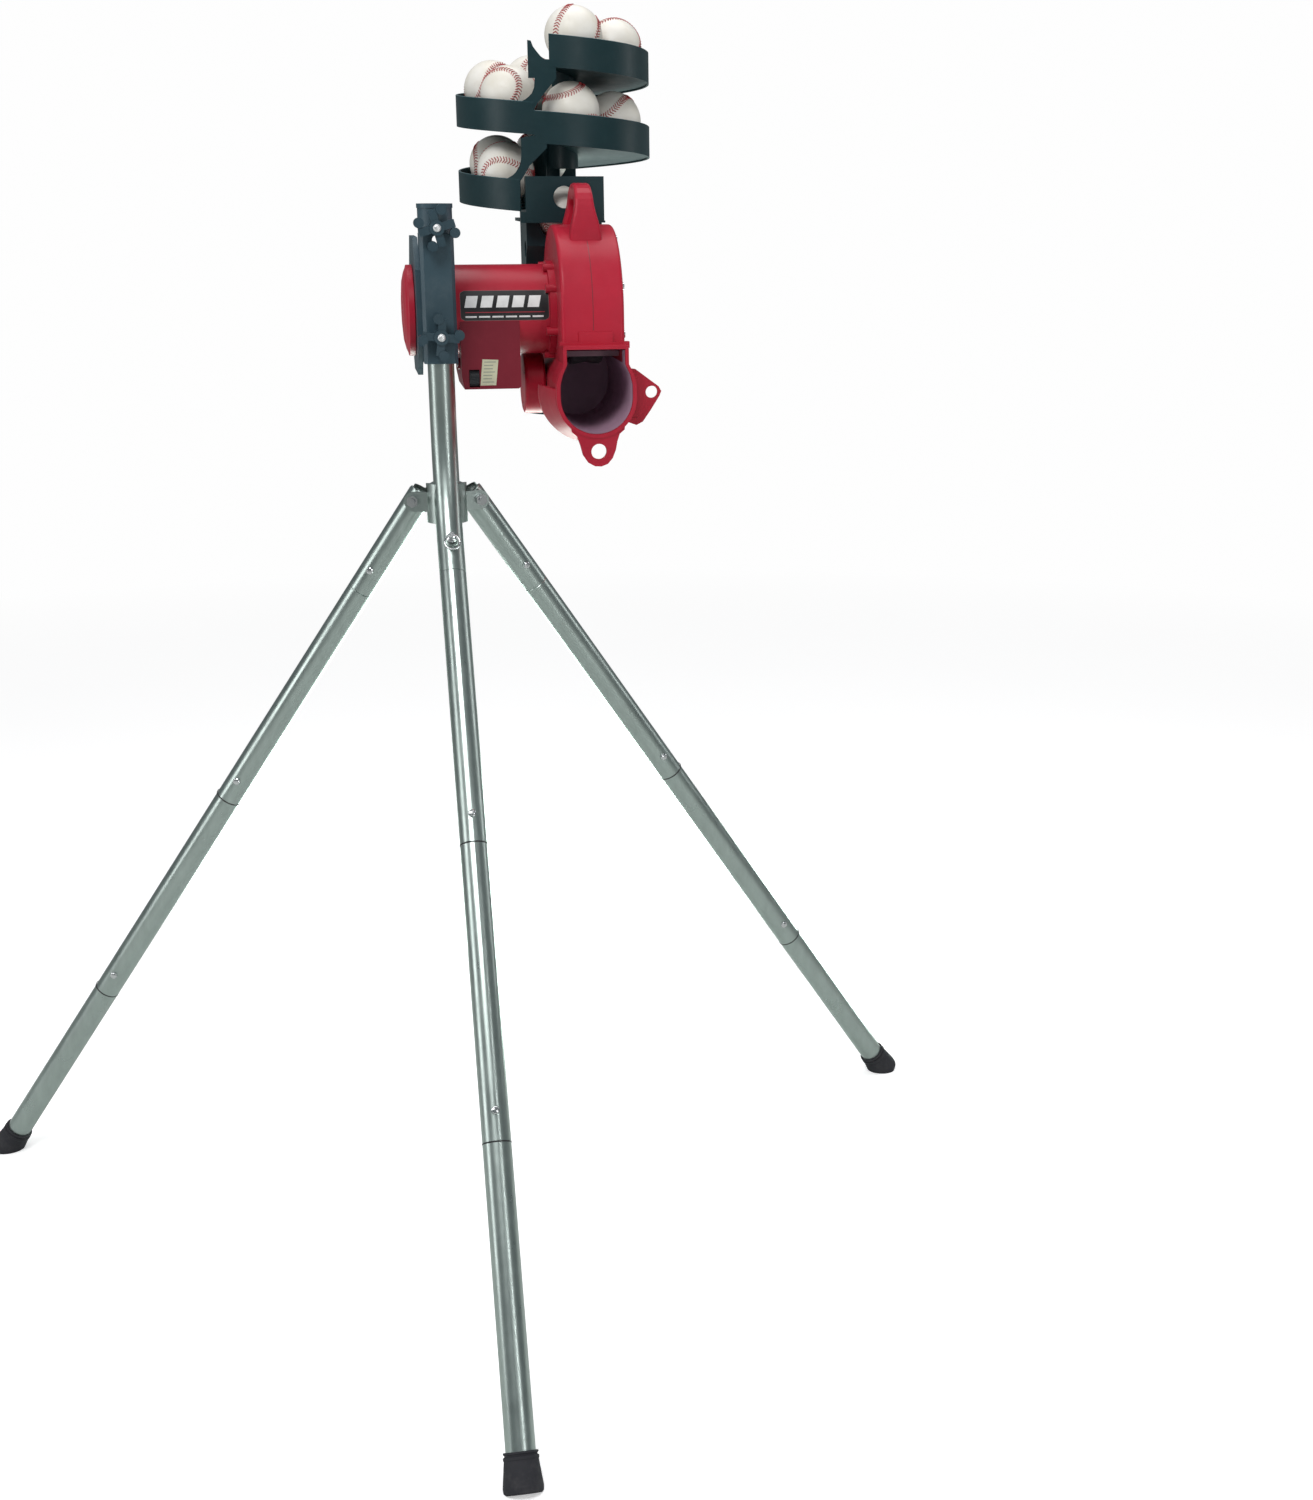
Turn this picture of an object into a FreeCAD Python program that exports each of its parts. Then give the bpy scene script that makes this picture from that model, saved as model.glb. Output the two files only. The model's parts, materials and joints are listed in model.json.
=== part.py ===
"""Baseball pitching machine on a folding tripod.

Millimetres. X runs along the motor, -Y is the way the ball is thrown, Z is up and the floor is Z = 0.
The mast stands at (0, mast_y). Head positions are given from the mast axis at head_level.
"""
import FreeCAD
import Part
import math
import os

import Sketcher
from FreeCAD import Placement, Rotation, Vector

SIZES = {
    "mast_y": 163.15,
    "head_level": 1154.0,
    "clearance": 0.05,
    # stand
    "tube_radius": 15.875,
    "tube_wall": 1.5,
    "spigot_radius": 14.3,
    "spigot_wall": 1.2,
    "spigot_length": 45.0,
    "spigot_seat": 20.0,
    "tube_chamfer": 0.6,
    "apex_level": 948.0,
    "foot_circle": 672.0,
    "bend_radius": 280.0,
    "mast_above_head": 68.0,
    "section_length": 340.0,
    "front_stub": 125.0,
    "rear_stub": 140.0,
    "rear_pivot_radius": 36.0,
    "rear_pivot_level": 925.0,
    "rear_azimuth": 109.0,
    "leg_lift": 24.0,
    "button_radius": 4.62,
    "button_hole": 4.70,
    "button_drop": 33.0,
    "ear_gap": 32.4,
    "ear_thickness": 3.0,
    "bolt_radius": 4.0,
    "lock_pin_radius": 3.0,
    "ring_radius": 9.0,
    # bracket
    "bracket_half_width": 20.0,
    "bracket_front": 21.0,
    "bracket_back": 20.0,
    "bracket_bottom": 64.0,
    "bracket_top": 86.0,
    "collar_top": 120.0,
    "collar_radius": 20.4,
    "plate_half": 81.0,
    "plate_thickness": 6.0,
    "yoke_radius": 53.0,
    "knob_upper_level": 93.0,
    "knob_lower_level": -32.0,
    "knob_lobe_radius": 6.0,
    "knob_reach": 21.5,
    "knob_thickness": 12.0,
    # motor
    "motor_y": 75.0,
    "motor_z": -7.0,
    "motor_radius": 54.0,
    "journal_radius": 46.0,
    "journal_bore": 46.08,
    "motor_end": 144.0,
    "shaft_radius": 6.0,
    "bearing_radius": 16.0,
    "stator_radius": 48.9,
    "rotor_radius": 29.5,
    "cap_radius": 54.5,
    "box_left": 26.0,
    "box_right": 98.0,
    "box_bottom": -99.0,
    "box_wall": 3.0,
    "dial_radius": 10.2,
    "toggle_radius": 2.0,
    # wheel housing and wheel
    "drum_radius": 101.0,
    "drum_wall": 5.0,
    "drum_left": 144.0,
    "drum_seam": 182.0,
    "drum_right": 220.0,
    "drum_bottom": -44.0,
    "tyre_radius": 68.0,
    "hub_radius": 60.0,
    "wheel_half_width": 20.0,
    # barrel
    "barrel_radius": 47.0,
    "barrel_wall": 3.2,
    "barrel_level": -105.0,
    "barrel_neck": 37.9,
    "barrel_front": -45.0,
    "barrel_back": 222.0,
    "lug_hole": 9.5,
    "side_lug_hole": 7.5,
    "skirt_radius": 62.0,
    # feed drive
    "pod_radius": 39.0,
    "pod_y": 112.0,
    "pod_z": -100.0,
    "pod_left": 108.0,
    # feeder and magazine
    "tower_x": 170.0,
    "feed_tube_y": 224.0,
    "feed_tube_radius": 48.0,
    "feed_tube_bore": 43.5,
    "feeder_bottom": 95.0,
    "feeder_top": 151.0,
    "feeder_wall": 4.0,
    "sight_radius": 13.5,
    "magazine_y": 240.0,
    "tray_radius": 124.0,
    "tray_wall": 2.6,
    "tray_height": 38.0,
    "tray_fall": 30.0,
    "column_radius": 31.0,
    "ball_radius": 37.0,
    "ball_circle": 79.0,
}

doc = FreeCAD.newDocument("pitching_machine")
sheet = doc.addObject("Spreadsheet::Sheet", "sizes")
for row, (alias, number) in enumerate(SIZES.items(), 1):
    sheet.set(f"A{row}", alias)
    sheet.set(f"B{row}", str(number))
    sheet.setAlias(f"B{row}", alias)
doc.recompute()


class Dim:
    """A size and the sheet expression that gives it."""

    def __init__(self, value, text):
        self.value = float(value)
        self.text = text

    def __add__(self, other):
        other = dim(other)
        return Dim(self.value + other.value, f"({self.text} + {other.text})")

    def __sub__(self, other):
        other = dim(other)
        return Dim(self.value - other.value, f"({self.text} - {other.text})")

    def __mul__(self, other):
        other = dim(other)
        return Dim(self.value * other.value, f"({self.text} * {other.text})")

    def __neg__(self):
        return Dim(-self.value, f"(0 - {self.text})")

    def __radd__(self, other):
        return dim(other) + self

    def __rsub__(self, other):
        return dim(other) - self

    def __rmul__(self, other):
        return dim(other) * self

    def __float__(self):
        return self.value


def dim(value):
    return value if isinstance(value, Dim) else Dim(value, f"({float(value):.6g})")


class Sizes:
    """The sheet's sizes by name."""

    def __getattr__(self, alias):
        return Dim(SIZES[alias], f"sizes.{alias}")


s = Sizes()
TO_X = Rotation(Vector(0, 1, 0), 90)
TO_Y = Rotation(Vector(1, 0, 0), -90)
TO_MINUS_Y = Rotation(Vector(1, 0, 0), 90)
TO_Z = Rotation()
FULL_TURN = 360.0


def bind(obj, prop, value):
    value = dim(value)
    setattr(obj, prop, value.value)
    if "sizes." in value.text:
        obj.setExpression(prop, value.text)


def put(obj, base, rotation=TO_Z, frame=None):
    """Places an object; inside a leg frame the place is worked out here, elsewhere the sheet drives it."""
    base = [dim(value) for value in base]
    here = Placement(Vector(*(value.value for value in base)), rotation)
    if frame is not None:
        obj.Placement = frame.multiply(here)
        return obj
    obj.Placement = here
    for axis, value in zip("xyz", base):
        if "sizes." in value.text:
            obj.setExpression(f"Placement.Base.{axis}", value.text)
    return obj


def named(kind, label):
    obj = doc.addObject(kind, label)
    obj.Label = label
    return obj


def block(label, x, y, z, frame=None):
    obj = named("Part::Box", label)
    for prop, (low, high) in zip(("Length", "Width", "Height"), (x, y, z)):
        bind(obj, prop, dim(high) - dim(low))
    return put(obj, (x[0], y[0], z[0]), TO_Z, frame)


def rod(label, base, rotation, radius, length, frame=None):
    obj = named("Part::Cylinder", label)
    bind(obj, "Radius", radius)
    bind(obj, "Height", length)
    return put(obj, base, rotation, frame)


def fused(label, *parts):
    obj = named("Part::MultiFuse", label)
    obj.Shapes = list(parts)
    obj.Refine = True
    return obj


def cut(label, base, *tools):
    obj = named("Part::Cut", label)
    obj.Base = base
    obj.Tool = tools[0] if len(tools) == 1 else fused(f"{label}_tools", *tools)
    return obj


def common(label, *parts):
    obj = named("Part::MultiCommon", label)
    obj.Shapes = list(parts)
    return obj


def shaped(label, shape):
    obj = named("Part::Feature", label)
    obj.Shape = shape
    return obj


def rounded(label, base, radius, wanted):
    """Rounds the edges of an object that wanted(edge box) picks."""
    base.recompute(True)
    edges = [n + 1 for n, edge in enumerate(base.Shape.Edges) if wanted(edge.BoundBox)]
    if not edges:
        raise RuntimeError(f"{label}: no edge to round")
    obj = named("Part::Fillet", label)
    obj.Base = base
    obj.Edges = [(n, radius, radius) for n in edges]
    return obj


def outline(body, label, plane, points):
    """A closed polygon on one of the body's own planes, every corner held by the sheet."""
    sketch = body.newObject("Sketcher::SketchObject", label)
    face = next(f for f in body.Origin.OriginFeatures if f.Role == plane)
    sketch.AttachmentSupport = [(face, "")]
    sketch.MapMode = "FlatFace"
    points = [(dim(a), dim(b)) for a, b in points]
    for (a, b), (c, d) in zip(points, points[1:] + points[:1]):
        line = Part.LineSegment(Vector(a.value, b.value, 0), Vector(c.value, d.value, 0))
        sketch.addGeometry(line, False)
    count = len(points)
    for k in range(count):
        sketch.addConstraint(Sketcher.Constraint("Coincident", k, 2, (k + 1) % count, 1))
    for k, point in enumerate(points):
        for kind, value in zip(("DistanceX", "DistanceY"), point):
            index = sketch.addConstraint(Sketcher.Constraint(kind, -1, 1, k, 1, value.value))
            if "sizes." in value.text:
                sketch.setExpression(f"Constraints[{index}]", value.text)
    return sketch


def prism(label, plane, points, base, length, rotation=TO_Z, frame=None):
    """A padded outline. XZ_Plane pads towards -Y, YZ_Plane towards +X, XY_Plane towards +Z."""
    body = named("PartDesign::Body", label)
    sketch = outline(body, f"{label}_outline", plane, points)
    pad = body.newObject("PartDesign::Pad", f"{label}_pad")
    pad.Profile = sketch
    bind(pad, "Length", length)
    body.Tip = pad
    return put(body, base, rotation, frame)


def turned(label, points, base, rotation, frame=None):
    """A turned body: each corner is (radius, distance along the axis)."""
    body = named("PartDesign::Body", label)
    sketch = outline(body, f"{label}_outline", "XZ_Plane", points)
    turn = body.newObject("PartDesign::Revolution", f"{label}_turn")
    turn.Profile = sketch
    turn.ReferenceAxis = (sketch, ["V_Axis"])
    turn.Angle = FULL_TURN
    body.Tip = turn
    return put(body, base, rotation, frame)


def y_at(distance):
    return s.mast_y + distance


def z_at(height):
    return s.head_level + height


# ---------------------------------------------------------------- stand
def leg_frame(azimuth, radius, level, tilt):
    """Local +Z runs down the leg, local +X points away from the ground side, local +Y is level."""
    u = Vector(math.sin(math.radians(azimuth)), -math.cos(math.radians(azimuth)), 0)
    down = u * math.sin(math.radians(tilt)) + Vector(0, 0, -math.cos(math.radians(tilt)))
    out = u * math.cos(math.radians(tilt)) + Vector(0, 0, math.sin(math.radians(tilt)))
    side = down.cross(out)
    origin = u * radius + Vector(0, float(s.mast_y), level)
    matrix = FreeCAD.Matrix(
        out.x, side.x, down.x, origin.x,
        out.y, side.y, down.y, origin.y,
        out.z, side.z, down.z, origin.z,
        0, 0, 0, 1,
    )
    return Placement(matrix)


apex = float(s.apex_level)
front_tilt = math.degrees(math.atan2(float(s.foot_circle), apex))
front_length = math.hypot(float(s.foot_circle), apex)
rear_run = float(s.foot_circle) - float(s.rear_pivot_radius)
rear_tilt = math.degrees(math.atan2(rear_run, float(s.rear_pivot_level)))
rear_length = math.hypot(rear_run, float(s.rear_pivot_level))
azimuth = float(s.rear_azimuth)
FRAMES = {
    "front": leg_frame(0, 0, apex, front_tilt),
    "left": leg_frame(-azimuth, float(s.rear_pivot_radius), float(s.rear_pivot_level), rear_tilt),
    "right": leg_frame(azimuth, float(s.rear_pivot_radius), float(s.rear_pivot_level), rear_tilt),
}
LENGTHS = {"front": front_length, "left": rear_length, "right": rear_length}
STUBS = {"front": s.front_stub, "left": s.rear_stub, "right": s.rear_stub}
tube_bore = s.tube_radius - s.tube_wall
spigot_bore = s.spigot_radius - s.spigot_wall


def facing(side):
    """The way a leg's snap buttons point: outwards on the front leg, to the thrower's side on the others."""
    if side == "front":
        return TO_X
    level = FRAMES[side].Rotation.multVec(Vector(0, 1, 0))
    return TO_MINUS_Y if level.y > 0 else TO_Y


def cross_hole(label, side, along, radius):
    return rod(label, (0, 0, along), facing(side), radius, 24, FRAMES[side])


def leg_section(side, number):
    """One plug-together length of leg tube with its spigot at the top."""
    label = f"{side}_leg_section_{number}"
    top = STUBS[side] + (number - 1) * s.section_length
    if number < 3:
        bottom = top + s.section_length
    else:
        bottom = dim(LENGTHS[side]) - s.leg_lift
    r = s.tube_radius
    c = s.tube_chamfer
    points = [
        (spigot_bore, top - s.spigot_length),
        (s.spigot_radius, top - s.spigot_length),
        (s.spigot_radius, top),
        (r - c, top),
        (r, top + c),
        (r, bottom - c),
        (r - c, bottom),
        (tube_bore, bottom),
        (tube_bore, top + s.spigot_seat),
        (spigot_bore, top + s.spigot_seat),
    ]
    tube = turned(f"{label}_tube", points, (0, 0, 0), TO_Z, FRAMES[side])
    pinned = side == "front" and number == 1
    upper = s.lock_pin_radius + s.clearance if pinned else s.button_hole
    holes = [cross_hole(f"{label}_top_hole", side, top - s.button_drop, upper)]
    if number < 3:
        holes.append(cross_hole(f"{label}_low_hole", side, bottom - s.button_drop, s.button_hole))
    return cut(label, tube, *holes)


def foot(side):
    """Rubber ferrule over the tube end, worn flat where it stands on the floor."""
    label = f"{side}_foot"
    end = dim(LENGTHS[side]) - s.leg_lift
    r = s.tube_radius + s.clearance
    points = [
        (r, end - 14), (18.4, end - 14), (18.6, end - 12), (17.3, end - 11.2), (17.3, end - 9.8),
        (18.9, end - 9), (18.9, end - 6.4), (18.3, end - 5.4), (21.4, end + 21), (21.0, end + 26),
        (19.4, end + 28), (0, end + 28), (0, end), (r, end),
    ]
    ferrule = turned(f"{label}_ferrule", points, (0, 0, 0), TO_Z, FRAMES[side])
    centre = FRAMES[side].multVec(Vector(0, 0, LENGTHS[side]))
    below = block(
        f"{label}_floor", (centre.x - 50, centre.x + 50), (centre.y - 50, centre.y + 50), (-60, 0)
    )
    return cut(label, ferrule, below)


def snap_button(side, number):
    """Sprung button: flange inside the tubes, domed head just proud of them."""
    along = STUBS[side] + (number - 1) * s.section_length - s.button_drop
    b = s.button_radius
    points = [
        (0, 8.9), (6, 8.9), (6, 10.9), (b, 10.9), (b, 17.0), (b * 0.93, 18.0),
        (b * 0.72, 18.7), (b * 0.4, 19.1), (0, 19.2),
    ]
    return turned(f"{side}_snap_button_{number}", points, (0, 0, along), facing(side), FRAMES[side])


NODES = []


def node(obj):
    NODES.append(obj)
    return obj


bend = math.radians(front_tilt)
bend_run = float(s.bend_radius) * math.tan(bend / 2)
axis_y = float(s.mast_y)
mast_top = Vector(0, axis_y, float(s.head_level + s.mast_above_head))
bend_start = Vector(0, axis_y, apex + bend_run)
bend_centre = bend_start + Vector(0, -float(s.bend_radius), 0)
mid = bend_centre + Vector(0, math.cos(bend / 2), -math.sin(bend / 2)) * float(s.bend_radius)
bend_end = FRAMES["front"].multVec(Vector(0, 0, bend_run))
tube_end = FRAMES["front"].multVec(Vector(0, 0, float(s.front_stub)))
path = Part.Wire([
    Part.makeLine(mast_top, bend_start),
    Part.Arc(bend_start, mid, bend_end).toShape(),
    Part.makeLine(bend_end, tube_end),
])


def swept_tube(radius):
    ring = Part.Wire(Part.makeCircle(radius, mast_top, Vector(0, 0, -1)))
    return path.makePipeShell([ring], True, False)


bent_bar = shaped("mast_tube_outer", swept_tube(float(s.tube_radius)))
bent_bore = shaped("mast_tube_inner", swept_tube(float(tube_bore)))
pin_place = s.front_stub - s.button_drop
front = FRAMES["front"]
boss = rod("mast_tube_boss", (12.5, 0, pin_place), TO_X, 7, 14.5, front)
boss_collar = rod("mast_tube_boss_collar", (23, 0, pin_place), TO_X, 8.2, 2.5, front)
pin_bore = rod("mast_tube_pin_bore", (0, 0, pin_place), TO_X, s.lock_pin_radius + s.clearance, 40, front)
node(cut("mast_tube", fused("mast_tube_welded", bent_bar, boss, boss_collar), bent_bore, pin_bore))

pin = s.lock_pin_radius
pin_points = [
    (0, 8.2), (2.2, 8.2), (pin, 9.2), (pin, 29.0), (5.4, 29.0), (6, 29.6), (6, 32.4), (5.4, 33),
    (3.6, 33.6), (3.6, 40.4), (3.0, 41.2), (0, 41.2),
]
pin_body = turned("leg_lock_pin_body", pin_points, (0, 0, pin_place), TO_X, front)
ring_hole = rod("leg_lock_pin_hole", (38, -5, pin_place), TO_Y, 1.9, 10, front)
node(cut("leg_lock_pin", pin_body, ring_hole))
ring = named("Part::Torus", "lock_pin_ring")
bind(ring, "Radius1", s.ring_radius)
bind(ring, "Radius2", 1.1)
put(ring, (38, 0, pin_place + s.ring_radius), TO_X, front)
node(ring)

# saddle welded to the bend, with a pair of ears for each rear leg
saddle_low = s.rear_pivot_level - 26
saddle_high = s.rear_pivot_level + 22
saddle_core = rod("saddle_core", (0, s.mast_y - 4, saddle_low), TO_Z, 25, 48)
saddle_solids = [saddle_core]
slots = []
pivot_holes = []
ear_inner = s.ear_gap * 0.5
for side in ("left", "right"):
    frame = FRAMES[side]
    outward = frame.Rotation.multVec(Vector(1, 0, 0))
    heading = math.degrees(math.atan2(outward.y, outward.x))
    upright = Placement(Vector(0, axis_y, 0), Rotation(Vector(0, 0, 1), heading))
    r0 = s.rear_pivot_radius
    slots.append(block(
        f"saddle_slot_{side}", (15.5, 80), (-ear_inner, ear_inner), (saddle_low - 5, saddle_high + 5), upright,
    ))
    for tag, low in (("a", ear_inner), ("b", -ear_inner - s.ear_thickness)):
        high = low + s.ear_thickness
        arm = block(f"saddle_ear_{side}_{tag}", (6, r0), (low, high),
                    (s.rear_pivot_level - 13, s.rear_pivot_level + 11), upright)
        tip = rod(f"saddle_ear_tip_{side}_{tag}", (r0, low, s.rear_pivot_level - 1), TO_Y, 12,
                  s.ear_thickness, upright)
        saddle_solids += [arm, tip]
    pivot_holes.append(rod(f"saddle_hole_{side}", (r0, -30, s.rear_pivot_level), TO_Y,
                           s.bolt_radius + s.clearance, 60, upright))
saddle_bore = shaped("saddle_bore", swept_tube(float(s.tube_radius + s.clearance)))
saddle_cut = cut("saddle_core_slotted", saddle_core, *slots)
node(cut("leg_saddle", fused("saddle_welded", saddle_cut, *saddle_solids[1:]), saddle_bore, *pivot_holes))

bolts = []
outer_face = s.ear_gap * 0.5 + s.ear_thickness
for side in ("left", "right"):
    frame = FRAMES[side]
    b = s.bolt_radius
    points = [
        (0, -outer_face - 5), (6.2, -outer_face - 5), (6.8, -outer_face - 4), (6.8, -outer_face),
        (b, -outer_face), (b, outer_face + 9), (0, outer_face + 9),
    ]
    shank = turned(f"hinge_bolt_{side}_shank", points, (0, 0, 0), facing(side), frame)
    nut = named("Part::Prism", f"hinge_bolt_{side}_nut")
    nut.Polygon = 6
    bind(nut, "Circumradius", 7.5)
    bind(nut, "Height", 6.5)
    turn = facing(side)
    put(nut, turn.multVec(Vector(0, 0, float(outer_face))), turn, frame)
    bolts.append(fused(f"hinge_bolt_{side}", shank, nut))
node(fused("leg_hinge_bolts", *bolts))

for side in ("left", "right"):
    frame = FRAMES[side]
    r = s.tube_radius
    top = -12.0
    end = s.rear_stub
    points = [
        (tube_bore, top), (r - s.tube_chamfer, top), (r, top + s.tube_chamfer), (r, end - s.tube_chamfer),
        (r - s.tube_chamfer, end), (tube_bore, end),
    ]
    tube = turned(f"{side}_leg_stub_tube", points, (0, 0, 0), TO_Z, frame)
    pivot = rod(f"{side}_leg_stub_pivot", (0, -20, 0), TO_Y, s.bolt_radius + 0.1, 40, frame)
    notch = block(f"{side}_leg_stub_notch", (-20, 20), (-7, 7), (top - 1, top + 4.5), frame)
    button = cross_hole(f"{side}_leg_stub_hole", side, end - s.button_drop, s.button_hole)
    node(cut(f"{side}_leg_stub", tube, pivot, notch, button))
for side in ("front", "left", "right"):
    for number in (1, 2, 3):
        node(leg_section(side, number))
        if (side, number) != ("front", 1):
            node(snap_button(side, number))
    node(foot(side))

# ---------------------------------------------------------------- bracket
half = s.bracket_half_width
front_y = y_at(-s.bracket_front)
back_y = y_at(s.bracket_back)
c = 4
bracket_section = [
    (-half + c, front_y), (half - c, front_y), (half, front_y + c), (half, back_y), (-half, back_y),
    (-half, front_y + c),
]
column = prism("bracket_column", "XY_Plane", bracket_section, (0, 0, z_at(-s.bracket_bottom)),
               s.bracket_bottom + s.bracket_top)
collar = rod("bracket_collar", (0, s.mast_y, z_at(s.bracket_top - 6)), TO_Z, s.collar_radius,
             s.collar_top - s.bracket_top + 6)
lip = rod("bracket_collar_lip", (0, s.mast_y, z_at(s.collar_top - 5)), TO_Z, s.collar_radius + 0.8, 5)
axis_head_y = y_at(s.motor_y)
axis_head_z = z_at(s.motor_z)
yoke = rod("bracket_yoke", (6, axis_head_y, axis_head_z), TO_X, s.yoke_radius, 13.5)
web = block("bracket_web", (6, 19.5), (back_y - 4, y_at(34)), (z_at(-42), z_at(28)))
knob_hub_upper = rod("bracket_hub_upper", (0, y_at(-15), z_at(s.knob_upper_level)), TO_MINUS_Y, 9, 12.5)
knob_hub_lower = rod("bracket_hub_lower", (0, y_at(-15), z_at(s.knob_lower_level)), TO_MINUS_Y, 9, 12.5)
bracket_bore = rod("bracket_bore", (0, s.mast_y, z_at(-s.bracket_bottom - 10)), TO_Z,
                   s.tube_radius + 0.085, 240)
yoke_bore = rod("bracket_yoke_bore", (0, axis_head_y, axis_head_z), TO_X, s.journal_bore, 30)
window = rod("bracket_window", (0, y_at(-40), z_at(79)), TO_Y, 5.4, 80)
stud_holes = [
    rod(f"bracket_stud_{tag}", (0, y_at(-40), z_at(level)), TO_Y, 4.05, 40)
    for tag, level in (("upper", s.knob_upper_level), ("lower", s.knob_lower_level))
]
bracket_mass = fused("bracket_mass", column, collar, lip, yoke, web, knob_hub_upper, knob_hub_lower)
node(cut("mast_bracket", bracket_mass, bracket_bore, yoke_bore, window, *stud_holes))

p = s.plate_half
k = 0.55
plate_points = [
    (y_at(s.motor_y) - p, z_at(-p * k)), (y_at(s.motor_y) - p * k, z_at(-p)),
    (y_at(s.motor_y) + p * k, z_at(-p)), (y_at(s.motor_y) + p, z_at(-p * k)),
    (y_at(s.motor_y) + p, z_at(p * k)), (y_at(s.motor_y) + p * k, z_at(p)),
    (y_at(s.motor_y) - p * k, z_at(p)), (y_at(s.motor_y) - p, z_at(p * k)),
]
plate = prism("tilt_plate_blank", "YZ_Plane", plate_points, (-26, 0, 0), s.plate_thickness)
plate_bore = rod("tilt_plate_bore", (-30, axis_head_y, axis_head_z), TO_X, s.journal_bore, 20)
node(cut("tilt_plate", plate, plate_bore))


def star_knob(label, level, turn):
    """Four-lobed clamping knob with its stud."""
    reach = float(s.knob_reach)
    half = 4.6
    back = Vector(0, float(y_at(-28)), float(z_at(level)))
    lobes = []
    for n in range(4):
        angle = math.radians(90 * n + turn)
        x = reach * math.cos(angle)
        z = level + reach * math.sin(angle)
        lobes.append(rod(f"{label}_lobe_{n}", (x, y_at(-28), z_at(z)), TO_MINUS_Y, s.knob_lobe_radius,
                         s.knob_thickness))
        arm = block(f"{label}_arm_{n}", (0, reach), (-half, half), (0, s.knob_thickness - 1))
        spin = TO_MINUS_Y.multiply(Rotation(Vector(0, 0, 1), -math.degrees(angle)))
        arm.Placement = Placement(back + spin.multVec(Vector(0, -half, 0)), spin)
        lobes.append(arm)
    core = rod(f"{label}_core", (0, y_at(-28), z_at(level)), TO_MINUS_Y, 8.6, s.knob_thickness + 1.2)
    stud = rod(f"{label}_stud", (0, y_at(-16.2), z_at(level)), TO_MINUS_Y, 4.0, 20)
    return fused(label, core, stud, *lobes)


node(star_knob("star_knob_upper", s.knob_upper_level, -15))
node(star_knob("star_knob_lower", s.knob_lower_level, 6))

# ---------------------------------------------------------------- motor
centre = (0, axis_head_y, axis_head_z)
r = s.motor_radius
j = s.journal_radius
e = s.motor_end
motor_points = [
    (42, -26.4), (j, -26.4), (j, 20.6), (r - 1.5, 20.6), (r, 22.1), (r, e - 9), (r + 4, e - 8), (r + 4, e),
    (30, e), (30, e - 6), (s.bearing_radius, e - 6), (s.bearing_radius, e - 16), (49, e - 16), (49, 26),
    (42, 26), (42, -10), (s.bearing_radius, -10), (s.bearing_radius, -20), (42, -20),
]
shell = turned("motor_housing_shell", motor_points, centre, TO_X)
bosses = []
for n, degrees in enumerate((118, 152, 205, 250, 300, 20, 62)):
    angle = math.radians(degrees)
    reach = float(r) + 3
    bosses.append(rod(f"motor_housing_boss_{n}",
                      (e - 13, axis_head_y + reach * math.cos(angle), axis_head_z + reach * math.sin(angle)),
                      TO_X, 5.2, 13))
boss_room = rod("motor_housing_boss_room", (e - 14, axis_head_y, axis_head_z), TO_X, 50, 8)
boss_ring = cut("motor_housing_boss_ring", fused("motor_housing_bosses", *bosses), boss_room)
node(fused("motor_housing", shell, boss_ring))

q = s.cap_radius
cap_points = [
    (0, -41.0), (20, -40.6), (36, -39.4), (46, -37.0), (51.6, -34.6), (q - 0.6, -34.2), (q, -33.6),
    (q, -27.2), (q - 0.6, -26.6), (42, -26.6), (42, -22), (39.4, -22), (39.4, -31.5), (30, -37.2),
    (0, -38.2),
]
cap = turned("motor_end_cap_dome", cap_points, centre, TO_X)
louvres = []
for group, z0 in (("upper", 12), ("lower", -22)):
    for n in range(5):
        slat = block(f"cap_louvre_{group}_{n}", (-60, -30), (-13, 13), (-1.3, 1.3))
        spin = Rotation(Vector(1, 0, 0), 35)
        level = float(s.head_level + s.motor_z) + z0 + 6.5 * (n - 2) + 5
        base = Vector(0, axis_y + float(s.motor_y) - 10, level)
        slat.Placement = Placement(base, TO_Z).multiply(Placement(Vector(), spin)).multiply(
            Placement(Vector(-60, -13, -1.3), TO_Z))
        louvres.append(slat)
dimple = rod("cap_dimple", (-42, axis_head_y, axis_head_z), TO_X, 4.2, 2)
node(cut("motor_end_cap", cap, dimple, *louvres))

w = s.box_wall
x0 = s.box_left
x1 = s.box_right
z0 = z_at(s.box_bottom)
box_profile = [
    (x0 + 3, z0), (x1 - 3, z0), (x1, z0 + 3), (x1, axis_head_z), (x0, axis_head_z), (x0, z0 + 16),
]
box_hollow = [
    (x0 + 3 + w, z0 + w), (x1 - w, z0 + w), (x1 - w, axis_head_z), (x0 + w, axis_head_z), (x0 + w, z0 + 17),
]
box_outer = prism("control_box_outer", "XZ_Plane", box_profile, (0, y_at(128), 0), 106)
box_inner = prism("control_box_inner", "XZ_Plane", box_hollow, (0, y_at(125), 0), 100)
motor_room = rod("control_box_motor_room", (0, axis_head_y, axis_head_z), TO_X,
                 s.motor_radius + s.clearance, 140)
roof = rod("control_box_roof", (x0, axis_head_y, axis_head_z), TO_X, s.motor_radius + 3, x1 - x0)
roof_void = cut("control_box_void", box_inner, roof)
dial_y = y_at(30)
dial_z = z_at(-86)
dial_slot = block("control_box_dial_slot", (34.9, 47.6), (y_at(15), y_at(41)), (z_at(-96.5), z_at(-75.4)))
toggle_hole = rod("control_box_toggle_hole", (20, y_at(50), z_at(-70)), TO_X, 4.6, 12)
bezel = rod("control_box_bezel", (x0 - 2.4, y_at(50), z_at(-70)), TO_X, 7, 4)
inlet_hole = block("control_box_inlet_hole", (52, 76), (y_at(120), y_at(130)), (z_at(-86), z_at(-72)))
ears = []
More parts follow.
